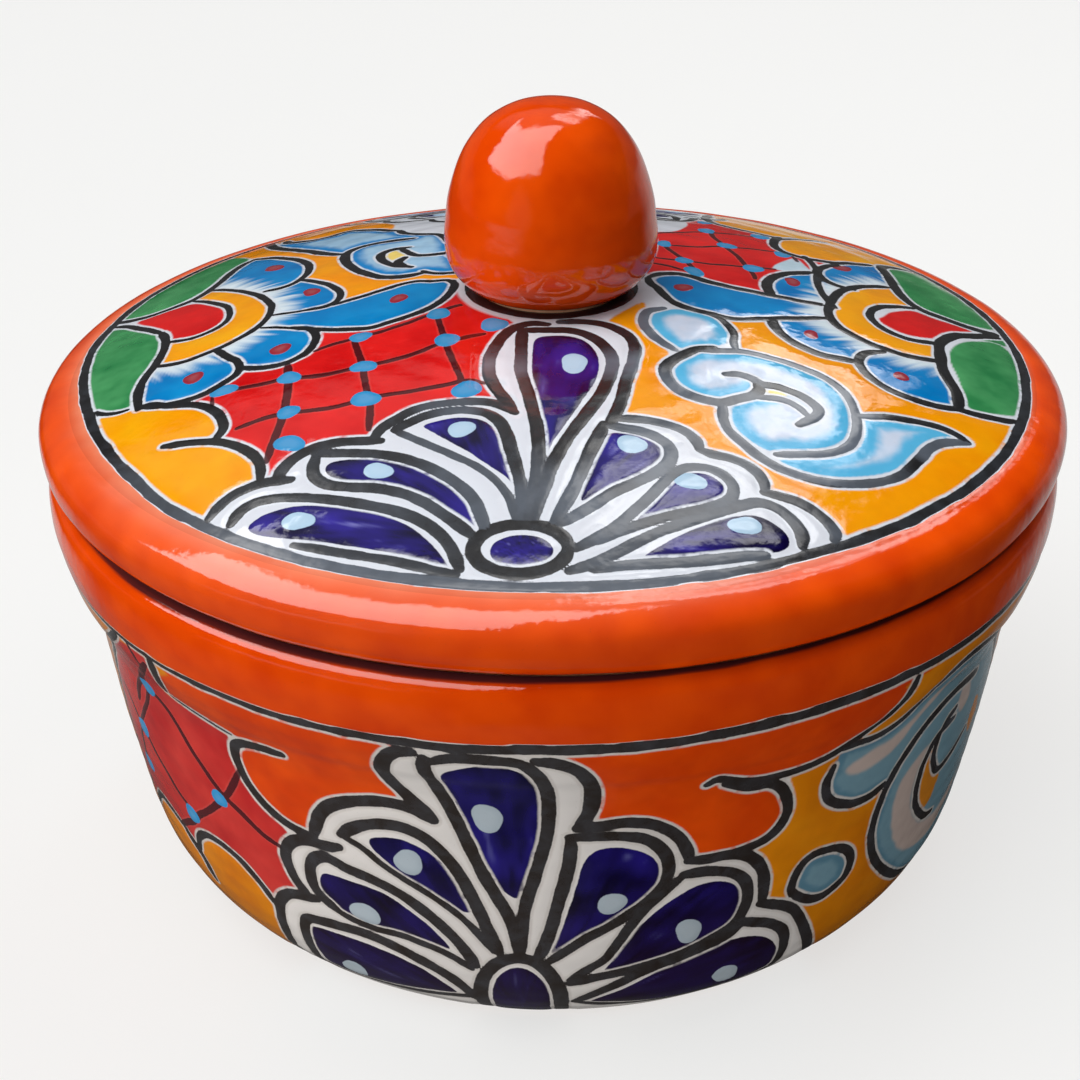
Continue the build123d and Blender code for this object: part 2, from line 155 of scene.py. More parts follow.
LID_DOT = [   # x y rx ry tilt kind
(-26.7,-16.3,3,3,0,'b'),(-44.4,-25.4,2.8,2.4,0,'b'),(-13.3,-23.6,3.4,3.4,0,'b'),(-24,-30.7,2.8,3.4,0,'b'),
(-42.3,-40.2,3,2.6,0,'b'),(-59.2,-41,2.9,2.6,0,'b'),(-40.7,-54.2,3.5,2.9,0,'b'),(-18.5,-53.2,3.3,3.3,0,'b'),
(-57.6,-55.6,2.8,2.4,0,'b'),(-74.2,-41.4,3.2,2.5,0,'b'),(-56,-67.4,3.6,2.7,-35,'b'),
(42.7,56,2.5,3.2,0,'b'),(57.7,57.4,2.6,3.4,0,'b'),(46.7,39.6,2.7,3.1,0,'b'),(29.8,35.7,2,3,0,'b'),
(51.7,20.2,2.6,3.2,0,'b'),(34,21,2.3,2.5,0,'b'),(36,13,2.2,3.4,25,'b'),(61.6,38.6,2.5,3,0,'b'),(43.6,71,2.4,3,0,'b'),
(-19.1,-68.4,3,2.8,0,'p'),(-35.9,-80.3,3.1,2.5,-20,'p'),(-51.3,-92.7,3.8,2.3,-12,'p'),(5.1,-43.3,3,4.2,0,'p'),
(16.7,-73.9,3.4,2.8,0,'p'),(28.3,-84.8,3.4,2.5,0,'p'),(38.5,-96.5,3.3,2.5,0,'p'),
(-73.4,35.2,2.3,3.7,25,'m'),(-59.8,7.2,2.2,2.9,0,'m'),(-37,-5,2,2.9,-15,'m'),(-63.2,-26.1,2.6,2.5,0,'m'),(-82.9,-32.2,2.6,2.5,0,'m'),
(32.4,.4,2.3,2.6,0,'m'),(61,13.4,2,3.2,0,'m'),(77,35,2.4,3.6,-35,'m'),(61.2,-20.2,1.8,2.2,0,'m'),(80.3,-34.2,2,1.9,0,'m'),
]
LID_FILL = [   # colour, polygon
('r',"-56,-18.4 -51,-20 -44.7,-21 -40.7,-20.4 -36,-17.8 -31.3,-14.8 -28,-11.2 -25.7,-7 -24,-3 -20,-4 -16,-8 -13,-14 -10,-21 -7.6,-25 -10.7,-28.7 -12.3,-33.3 -13.7,-38.7 -14,-43.3 -13.7,-48 -12.3,-52.7 -10.3,-57.3 -9,-61 -13.5,-58.8 -18.7,-58 -26,-58.7 -30.5,-60.6 -33.4,-63 -36.4,-66.2 -38,-69.8 -43.5,-69.4 -49,-69.8 -53,-71.8 -56,-75 -57.5,-79.2 -60.9,-78 -61.3,-75 -62.3,-71.3 -65.3,-67.3 -69.3,-64 -73.3,-61.8 -71.9,-58 -72.4,-54.7 -74.7,-50 -78.7,-46 -83.3,-43.9 -85.4,-42.4 -80,-41.3 -76,-38.7 -72.8,-35.3 -72,-31.8 -68.7,-33.4 -64.7,-34.1 -60.5,-33.3 -57.3,-30.8 -55.7,-27.4 -55.1,-23.3"),
('k',"-27.3,-66.3 -24,-64.7 -20,-64 -16,-64.8 -12.9,-67.3 -10.8,-71.3 -9.6,-76.7 -8,-84 -7.1,-88.3 -9.3,-84.7 -13.3,-80.6 -17.3,-76.2 -21.3,-72.6 -25,-69"),
('k',"-47.2,-77.8 -45.8,-75.8 -40,-75.4 -34.7,-76.4 -30,-78.4 -25.3,-81.5 -21.3,-85 -18,-89 -16,-93 -15.2,-98.4 -18.7,-95.5 -22.7,-91.4 -26.7,-88.5 -31.3,-85.9 -37.3,-83.9 -42.7,-82.3 -45.9,-80.2"),
('k',"-61.6,-92.6 -59.4,-89.9 -55,-88.4 -50,-88.4 -45,-89.5 -40,-91.2 -34,-93.7 -29,-97 -25.5,-100.5 -22.3,-104.7 -20.2,-108.8 -24,-107.2 -30,-104.8 -36,-102.6 -42,-100.6 -48,-98.6 -54,-96.9 -58.8,-95.2"),
('k',"0,-30 4,-30.2 7,-32 9,-35 10.2,-38.7 10.6,-43.3 10.2,-48 9,-52.5 7,-57.5 5,-62.5 2.6,-68 .2,-73.5 -.8,-77 -1.7,-73.3 -2.4,-68 -3,-62 -3.6,-54 -4.3,-46.7 -4.3,-40 -4,-33.5 -2.8,-30.8"),
('k',"12,-70.5 16.7,-70 20.7,-71.8 22.8,-74.8 22.6,-78 20,-81.5 15.3,-85.1 10,-88.6 6.2,-91.9 6,-89.3 7.3,-84.7 9,-78.7 10.5,-73.5"),
('k',"16.8,-97.5 19.1,-93.4 22.5,-88.8 24.7,-84.8 28.5,-82.2 32.5,-82.6 34.9,-85.3 34.6,-88.6 31.3,-91.1 26,-93.8 20.7,-96.5"),
('k',"17.8,-106.8 21.3,-103.4 26.7,-99.4 32,-96.2 36,-94.3 40.7,-93.4 44.7,-95.3 47,-98.6 46,-101.9 41.3,-103.6 36,-103.9 30,-105.1 22.7,-106.8"),
('y',"-103.9,-40.6 -98,-40.4 -93.3,-41.4 -88.7,-42.5 -82.7,-45 -77.3,-48.4 -73.7,-53.3 -73.4,-57.5 -75,-60.5 -70,-62.5 -66,-66 -63,-71 -62,-76 -63.5,-79 -68,-81.5 -70.6,-86 -74,-85.5 -81.3,-78.3 -86,-73 -90,-67.7 -94.5,-62 -98.5,-54.5 -102,-47"),
('y',"-94,-9.6 -93.7,-20 -90.7,-21 -86.7,-21 -82.7,-19.8 -78.7,-17.6 -74.7,-14.6 -71.8,-11 -70,-6.7 -69.5,-2.2 -70,2.2 -72.6,8.6 -75.3,13 -79.2,17.8 -83.6,22.3 -88.2,25.8 -92,21 -87,15 -83.6,10.7 -81.2,5.5 -79.8,0 -80.4,-3.3 -82.7,-6.3 -86,-8.1 -90,-8.6"),
('r',"-94.6,-.5 -94,-5.2 -90.7,-6.6 -86,-6.8 -82.6,-4.4 -81.1,-.2 -81.4,4.7 -83.8,9.5 -87.8,14.2 -92.2,17.9 -98,17.4 -106.2,15.6 -104.3,11 -100,5"),
('g',"-115,12 -113.3,14.8 -108.7,12 -104.5,8 -100.6,3.2 -97.3,-.4 -95.9,-6.7 -95.3,-13.3 -96.2,-20 -97.3,-26.7 -97.1,-33.3 -97,-38.6 -101.3,-38.6 -104.9,-36.6 -107.8,-31.3 -110.6,-22 -113.2,-10 -114.7,0"),
('g',"-113.3,26.7 -110.7,33.3 -108.7,40 -105.4,46.7 -101.4,53.3 -97,59.5 -93,65 -89.6,64.5 -86,60 -83.6,54.7 -85.6,50.5 -87.6,45 -88.8,40 -89.6,34.7 -91.4,28.7 -94.7,23.4 -100,20.4 -106.7,19.8 -111.6,21.4"),
('s',"-95.1,-21.8 -90.7,-22.6 -86.7,-22.6 -82.6,-21.4 -79.8,-20.2 -77,-24.4 -74.2,-28 -73,-32 -74.2,-35.6 -77,-38.4 -80.4,-40.3 -84.7,-41.3 -89.5,-40.6 -93.6,-39.3 -95.3,-34 -95.6,-28"),
('s',"-79.4,-19 -75,-15.8 -71.4,-12 -66,-13 -60.4,-15.6 -58.4,-16.6 -56.6,-19.6 -56,-23.6 -56.6,-27.4 -58.2,-30 -61,-32 -64.7,-33 -68.4,-32.4 -71.6,-30.6 -74.4,-26.8 -77.4,-22.8"),
('s',"-70.2,-10.6 -68.8,-5.2 -60,-5.4 -56,-5.2 -53.4,-3.6 -49,-2 -45,0 -41,2.8 -37.3,5 -33.3,6 -29.3,5.4 -25.4,5 -24.2,1.3 -24.8,-2.7 -26.2,-6.5 -28.6,-10.2 -31.9,-13.7 -36.4,-16.7 -40.9,-19.2 -44.7,-20 -51.1,-18.8 -56,-17.2 -60,-15.6 -65.3,-12.8"),
('s',"-69.2,-4 -60,-4.4 -57,-4.2 -54,-3 -52.7,0 -53,4 -54.6,7.6 -57.2,11.4 -60.4,14.8 -64,17.8 -67.4,15.4 -72,13.6 -71.4,7 -69.7,2.4"),
('s',"-88.6,27.4 -83,23.4 -78.3,18.6 -73.4,14.8 -68.7,15.8 -66,17.9 -64.2,22 -63.7,26.7 -64.5,31.8 -66.7,36.9 -70,41.5 -74,46.3 -78,50.2 -82.4,52.6 -84.4,49 -86.4,44 -87.4,38.7 -88.4,33"),
('o',"-90,66 -86,61 -83,55.6 -79.4,52.6 -74.6,48 -70.4,43 -66.8,38 -64.6,33 -63.8,27 -64,21.6 -62,18 -57.6,13.6 -54,9 -52.4,4.4 -51,-1.6 -47,-.6 -42.6,2.4 -38,5.6 -33.4,7 -28,6.4 -23.6,5.6 -22,10.6 -26,10.6 -30,11.6 -33,12.8 -36,11 -40,10.8 -44,12.6 -48,17 -51,22 -53.6,28 -54.6,34 -54.8,38.4 -58,39.4 -62.6,44.4 -68,51.4 -73.8,59.6 -77.6,66 -80.4,74 -82.8,82 -88,76"),
('o',"-81,80 -77,74 -72,69 -67,67.4 -62,68.4 -57.6,72.4 -52.6,70.4 -48.4,67 -44.6,63.8 -44.6,72 -50,82 -55.6,92 -58.4,104 -58,113 -70,112 -80,108 -86,96"),
('s',"-78.4,72 -75.4,64 -70,55.6 -64,48 -58,40.6 -54.2,39 -52.6,42 -48.7,45.8 -43.3,47 -38,47.6 -36.6,51.4 -40.6,55 -42.6,59.4 -45.4,61.8 -49.2,65.4 -53.6,68.6 -58,70.2 -62,66.6 -67,65.4 -72.2,67.4"),
('s',"-38,47 -43.3,46.4 -48.7,45 -52.7,42 -53.6,37.3 -53.2,32 -51.8,26.7 -49.6,21.7 -46.7,17.3 -43,13.4 -39.3,11.9 -35.4,12.3 -32,13.6 -28,11.8 -23,12.4 -23.8,20 -25,27 -26.2,36 -27.8,45 -31,50 -36,51.6"),
('q',"-43.4,31 -42.2,34 -39.8,34.2 -38,31 -37.4,28 -38.4,26 -39.6,23.4 -41.8,25 -43.2,28"),
('r',"24,8.6 28,11 32,11.6 37,9.8 41,7 47,5 54,3.2 54.6,8 56.2,13 58.6,17.6 62.6,21.4 66.4,24.6 68.4,29 70.2,33.2 72.8,36.8 66,39.2 61.6,42 60.2,46 60.6,52 62,58 60.4,61.6 55,64 50.4,67 46.4,72 45,78 38.6,71 38,62 35.4,54 32,49.6 28.6,47.6 28.4,36 27,24 25,14"),
('w',"57,23 62,33 65,36 66.5,30 67,25.5 62,22.5"),
('y',"64.4,61 62.4,53.6 61.8,47.4 63,43.4 66,41 70,39.8 75.6,41 79.6,43.6 86.6,47.6 88.6,46.6 90.4,50.6 94,53.6 98.8,55.4 96.4,60.4 92.6,65.6 88.4,66.4 84,65 78,65.6 72,65 68,63.4"),
('y',"47.8,72.6 51.8,68.2 57.6,65 63.6,62.4 67.4,65.6 73,67.6 79,67.6 85,66 91,67.4 87,73.4 80,81 71,89 60,97 50,102.6 47.4,92 46,82"),
('y',"68,.2 67,-4 67,-8.7 68.7,-13.3 72,-17 77,-20 82.7,-21.6 88,-21.6 91.6,-20.8 92.6,-16.7 93.3,-11.4 88,-12.4 83.3,-11.4 79.7,-8 78,-3.3 78.3,0 79.6,3.3 82.4,6.7 86,9.4 90.6,11.8 89.4,17 88.6,24.8 82.6,21.6 78.6,18 74.6,13.3 72,8.4 70,3.3"),
('r',"82,-.5 84.3,3.5 88,6.9 91.8,8.9 97.3,6.6 105.6,5 101.3,1.3 97.3,-3.5 94,-7.5 89.3,-9.4 84.7,-9 81.2,-6 80.3,-3"),
('g',"110.4,.6 113.4,-2 114,-8.7 113.6,-16.7 111.6,-25.3 109.6,-32.7 107,-39 101.3,-41.4 95,-42 94.6,-36 95,-28 94.8,-20 96.2,-13.3 99.6,-7.3 104.6,-2.4"),
('g',"92,47.6 96.8,51.4 100.2,53.6 103.8,48.7 107,42.7 109.8,35.3 111.8,26.7 113.2,18.7 112.6,11.4 106.7,9.8 100.7,10.8 95.4,13.4 92.4,18.7 91.2,25.3 91,33.3 91.2,40.7"),
('g',"113.6,7.6 109,3 105,-.2 110,.8 113.6,1"),
('s',"77,16.6 73,17.8 70.6,20.4 69.8,24.7 70.8,29.2 73.4,33.4 77,37 79.4,40.8 86.6,45.4 88.6,45.8 88.8,38 88.7,31.3 88.6,25.6 82,23 78,19.6"),
('s',"54.8,1.6 54.5,6.7 55.3,11 57.5,15.4 60.6,19 66.8,23.6 69,20 72.4,15.6 70.4,9.4 68.4,4 67.4,.6 61,.8"),
('s',"25.4,2.8 26.6,6.4 29,8.8 32,9.3 35.6,7.8 39,5.3 44,3.2 50,1.4 55.3,.2 66.4,-.8 66.3,-8.6 60,-10.4 55.3,-12 50,-13.7 45.3,-15.1 41.4,-15.1 37,-13.2 32.6,-11.2 29.7,-8.2 28,-3.9 27,-.5"),
('s',"53.8,-13.4 53.8,-17.3 55,-21.6 57.4,-25.2 60.4,-27.9 64,-29.3 69.8,-29.8 71,-27.6 73.4,-24.2 77.4,-21.4 72.4,-18.4 69,-14.4 66.8,-9 60,-10.8"),
('s',"78.4,-22 74.6,-24.2 72.5,-28 71.9,-32 73.2,-36.4 76,-39.9 80.3,-42.4 86.7,-43.4 91.4,-42.8 92,-37.3 91.6,-33.3 91,-28 91.2,-21.8 88,-23 82.7,-23"),
('o',"21.6,-10.6 22.4,-13.6 20.6,-18 20.6,-24 22.2,-29 25.4,-34 26.6,-37.6 25,-41.4 24.2,-45 24.4,-49 26,-53 29,-55.8 33,-57.6 36,-58.4 35.8,-63 36.6,-67.6 39,-71.6 42.6,-76 46,-79 50,-80.6 55,-81.8 60,-81.8 66,-80.4 71,-78 75,-74.8 78,-71 80.6,-66.6 83.4,-62.6 87,-60 91.8,-58.6 92.8,-56.2 90.6,-53.8 86,-52.4 80,-52.2 74,-52.6 68.6,-54 67.6,-49.6 66.2,-45 63.6,-41 60,-38.4 55,-35.8 50,-33.6 44,-32.6 43.2,-28 43.4,-24 42.4,-19.6 40.6,-16.4 45.4,-17.2 51.6,-14.8 51.8,-18.4 53.2,-22.8 56.2,-26.8 60,-29.8 64,-31.2 70,-31.6 71.2,-36.8 74.4,-41.4 79.6,-44.4 86.6,-45.6 92,-45 98,-44.8 104.4,-43.8 102.6,-50.6 98,-58.6 92,-67 85,-75.6 76,-84.4 66,-92.4 60,-96 57.6,-94.4 56,-91 53.4,-88.6 50,-86.8 44.6,-85 44.4,-82 43,-78.8 40.4,-76.6 37.2,-75.2 33.8,-74.4 31.8,-73 31.4,-71 29.4,-67.8 26.4,-65.6 22,-64.2 17,-63.4 15.4,-60 16.4,-55 17.6,-50 19.4,-44 20,-38 19.8,-33 18.6,-28.6 16.6,-25.4 13.4,-22.6 16,-17.6"),
('l',"28.9,-13.8 33.3,-14.2 38,-16.2 40.3,-19.5 41.2,-24.7 40.6,-29.6 37.4,-32.2 33.4,-33.4 28.9,-34 25.5,-29.5 23.5,-24.7 23.1,-20 24.9,-16"),
('l',"27.2,-44.6 28,-41 30.4,-38.2 33.4,-36 38,-35.4 43,-35.2 48,-35.8 53,-37.4 57,-39.4 60.6,-42 63,-45.4 64.4,-50 65,-54.6 64.7,-59 63.8,-63 61.8,-66.4 58.6,-69 54,-70.8 49,-71.6 45.6,-72.6 42.4,-70.4 40,-67.4 38.6,-63 39,-58.8 41,-56 44,-54 48,-52 46.4,-50.4 44.6,-50 41.6,-52.4 38,-54.4 34,-54.8 30.4,-53 28,-49.4"),
('l',"68,-56.6 72,-55.8 77.3,-54.6 83.3,-54.5 87.3,-55.6 89.9,-56.8 85.3,-57.8 81.4,-60.6 79.6,-62.9 77.6,-66 75.6,-69.7 73,-72.7 70,-74.7 66,-76.7 60,-78.5 55.4,-78.8 51,-77.8 47.6,-75.6 50.6,-74.6 56,-73.6 61,-71.4 65,-68 67.2,-63.4 68,-59"),
('q',"46.4,-49.2 47.4,-48 49.6,-47.8 51.4,-49.2 51.8,-51 50.4,-52.4 48,-52.4 46.6,-51.2"),
]
LID_HUB = (-6.2,-104.6,9.3,6.4,3.2)

# The bowl's, in millimetres round (from the front, at a radius of 113 mm) and up the wall.
BOWL_INK = [
# front fan
(3.3,.08,"-26,97 -29.6,96.2 -32,93 -33,88.3 -31.6,84.4 -28.8,80.2 -26.2,77.2 -24.2,74.4"),
(3.3,.08,"-52.8,61.6 -51.6,65 -50.2,68.6 -47.6,71.9 -44,74.3 -39.5,76.2 -34.3,77.4 -29,77 -24.4,74.4"),
(3.3,.08,"-70.4,6 -69.6,14 -68.9,20 -68.4,29 -66.9,34.2 -63.5,37.9 -59,39.4 -55.4,40.2"),
(3.3,.08,"-57.4,39.6 -60.4,44 -61.9,49.3 -61.2,53.8 -58.3,57.4 -54.5,59 -50,59.2 -46.6,60.2"),
(3.3,.08,"-3.2,97 1,96.2 4.8,93.6 7,89 7.6,83.8 7.1,78.6 5.2,74.8"),
(3,.08,"-24,95.8 -24.2,91.3 -22.7,85.4 -20.8,79.3 -18.5,72.4 -16.3,65.2 -14,58.4 -11.8,53 -9.8,47.8 -8.5,42.4 -7.8,35"),
(2.9,.08,"-22.8,94.6 -19.3,96.4 -14,96.8 -8,96.6 -4.9,95.3 -2.4,91.3 -1.1,85.4 -.9,78.6 -1.4,71.8 -2.8,65 -4.3,58.3 -5.7,52.3 -6.6,46.3 -7,40.3 -7.4,35"),
(3.2,.08,"-45.8,64.2 -42.5,67.3 -38,69.9 -32.8,71 -28.3,70 -24.5,67 -21.5,62.8 -19.3,58.3 -17.4,53 -15.6,47 -14,41 -12.1,35"),
(2,.08,"-45.4,64 -41,61.9 -36.5,58.2 -32,55 -27.5,52.2 -23,48.6 -19.3,44.8 -16.3,40.4 -13.3,35"),
(3.2,.08,"-50,38.7 -54.4,42.4 -55.7,47 -54.6,52.6 -50.8,55.6 -45.5,54 -40.3,52.9 -35,50.8 -30.5,47.8 -26,43.4 -22.3,38.8 -19.3,33.6 -17.8,29.8"),
(2.2,.08,"-50.4,38.6 -45.5,36.9 -40.3,36.1 -35,36.1 -30.5,35 -26,33.5 -22.3,31.4 -18.7,28.4"),
(3.2,.08,"-63.4,8 -62,14 -61.7,20 -61.4,27.2 -59.8,31.3 -56,32.5 -50,33.3 -44,33.4 -38,32.1 -32.8,29.8 -27.5,26.8 -23,23 -20.2,18.6 -18.4,14"),
(2.6,.08,"-61,12 -54,9.6 -46,10.8 -38,12 -30,13.6 -23.6,15.2 -19,16"),
(2.9,.08,"4.6,74.2 10,74.6 14.5,75 19,74.1 22.8,71.9 25.8,68.7 27.6,65 28.6,61.4"),
(3,.08,"28.2,61.4 32.5,60.9 37,60.8 40.8,59.6 43.8,57 46,53.2 47.1,48.4 47.4,43.4 47.4,41.6"),
(3,.08,"46.9,42 50.5,40.2 54.3,37.9 57.3,35 59.9,30.5 62.1,26 64.8,20 68,13 71.5,7"),
(3,.08,"3.4,71.6 3.5,68 2.9,62 1.8,56 .6,50 -.5,44 -2,38 -3.6,33.4"),
(2.8,.08,"3.2,71.7 10,71.6 14.5,71.1 18.3,69.9 21.3,67.3 23.5,63.5 24.1,59 22.8,54.5 19.8,50.7 16,47 11.5,43.3 7,40.2 2.5,35.9 -1.4,32.2"),
(3,.08,"27.4,57.4 31.8,57.2 36.3,56 40,53.8 42.6,50 43.4,44.8 42.6,40.3 40,36.6 34.8,33.6 28.8,31.2 21.3,29 14.5,27.4 9,26.2 3.6,24.4"),
(2.6,.08,"27.4,57.2 24.3,53.8 20.5,49.4 17.5,44.8 14.5,38.8 11.5,32.9 7.8,29.6 3.6,25.8"),
(3,.08,"42.2,37.8 46,36.1 49.8,34.3 53.5,31.3 55.8,27.5 57,20 57,12"),
(3,.08,"43,36.6 39,33.4 32.5,31.2 22,27.6 14.5,23 9.6,19.4 5,15.6"),
(2.6,.08,"5.4,15 12,12 20,9.8 30,8.6 42,8.6 52,10 57.4,12.6"),
# orange lobes, left and right of the fan
(2.6,.08,"-56.6,84 -62,83.5 -67.2,82.3 -70.3,80 -71,76.2 -69.5,71 -66.5,66.5 -62,63.1 -57.5,61.4 -53,61"),
(2.3,.08,"30.4,83.6 32.5,84.8 35.5,83.5 39.3,81.9 43.8,81.1 50.5,80.9 56.5,81.6 61,83.1 65.5,85.3 70,88.3 72.4,91.4 74.4,95 75,99.4"),
(2.6,.08,"34.4,82.6 40,79.7 44.5,79.2 47.5,77 49.4,73.3 50.1,69.5 49,65.8 46,62.8 41.5,61.4 37,61"),
# left lattice and its lobe
(3,.08,"-87.5,98.6 -88.4,93 -89.4,87.4"), (1,.3,"-88,86 -80,85 -70,83.6"),
(2.4,.08,"-98.2,31.4 -95.9,37.2 -91.3,41 -85.3,42.2 -79.3,41 -74.8,38 -71.8,34.7 -69.6,31.6"),
(2.3,.08,"-103,35.2 -111,37 -119,35.6 -125.6,29.8 -129.4,37 -130.4,52 -128.6,66 -123,77.6 -114.6,87.4 -106,94 -101,98"),
(2.3,.08,"-126,29.4 -127,18 -123,9 -112,6.4"),
(2.8,.08,"-103.6,34.6 -100.4,32.4 -98,30.4 -95.8,26.8 -94.4,23.8"),
# scroll to the right of the fan
(3.6,.08,"-17.2,-6 -17.3,4 -17.3,12 -17.2,20 -15.8,26.4 -12.5,31.4 -8,33.4 -3.6,31.8 -.4,27 1.4,20.5 1.8,12 1.9,4 1.9,-6"),
(2.6,.08,"55.4,41 54.9,45 56.5,50 59.5,52 64,51.6 67.8,50 70.8,47 72.2,43 71.2,38.9 68.5,36.8 64.8,35.7 61,36.8 57.4,39.6 55.5,42"),
(2.5,.1,"60.4,77.8 59.2,73.3 60.3,68.8 63.3,65.9 67,63.9 70,63.1 73.8,63 77.6,64.2"),
(2.2,.15,"62,82.6 66,82.6 70,82 74.5,82.4 79,84 82.4,87.4,.3 84.4,90.4,.4"),
(2.5,.1,"112,77.6,.2 107.5,78.3 101.5,78.9 95.5,78.1 89.5,75.4 84.3,71 80.5,65.8 78.3,60.5 77.2,54.5 77.5,48.5 79.8,41.8 83.5,35.8 88.8,29.8 94.8,24.6 100.4,21.2 108,18.6 117,18.6 126,21.4 133,27.4 137,36,.2 138,46 136.6,56 133,66 128,75 122,82.6 114,88.6 105,93 96,94.6 90,93.6,.3 85.6,91,.4"),
(2.2,.1,"104,68.9,.3 98.5,68.4 95.1,66.4 92.9,62 92.3,56.8 93.3,50.8 95.6,46.2 99.3,41.9 103,38.8 107.4,37.4"),
(2.2,.1,"103.5,72,.2 100,70.6 97.6,67 97,63 98.2,58.6 101.5,54.4 106,54.2 110.5,55.6 116,58.5,.2"),
]
BOWL_LINE=[
(1.9,"-98.6,79.8 -96.5,79.7 -92,77 -87.5,71 -82.3,65 -77.8,61 -72.5,58.3 -67.3,55 -63.1,53.4"),
(2,"-71.2,71.6 -74,66.6 -77,62 -81.5,56.8 -86.8,51.5 -92,47 -95.8,42.6 -100.3,39.4 -104.6,36"),
(1.6,"-121,70 -115,64 -110,59 -104,53.8 -98.8,49.4 -92,46"),
(1.6,"-100,84 -103,76 -109,68 -113.6,62 -117,54 -118,46"),
(1.6,"-96,98 -94,93"),
(1.9,"-90.8,95.2 -95.8,89.8 -100.3,85.3 -103.6,81.3 -106.6,78 -109.6,72"),
]
BOWL_DOT=[
(-30.5,60.9,3,4.1,0,'p'),(-42.7,40.8,3.6,3.5,-20,'p'),(-49.6,17.2,3.3,4,10,'p'),(-13.1,76.9,3.2,4,20,'p'),
(12.3,51.3,3.2,3.2,0,'p'),(30,38.9,3.1,3.9,15,'p'),(41.6,18.8,3.3,4.2,15,'p'),
(-80.2,59.4,2.5,2.5,0,'b'),(-95,45.6,3.1,2.7,0,'b'),(-100.6,80.8,3.3,2.4,0,'b'),(-112.4,61.6,2.8,2.8,0,'b'),(-118,47,2.8,2.8,0,'b'),
]
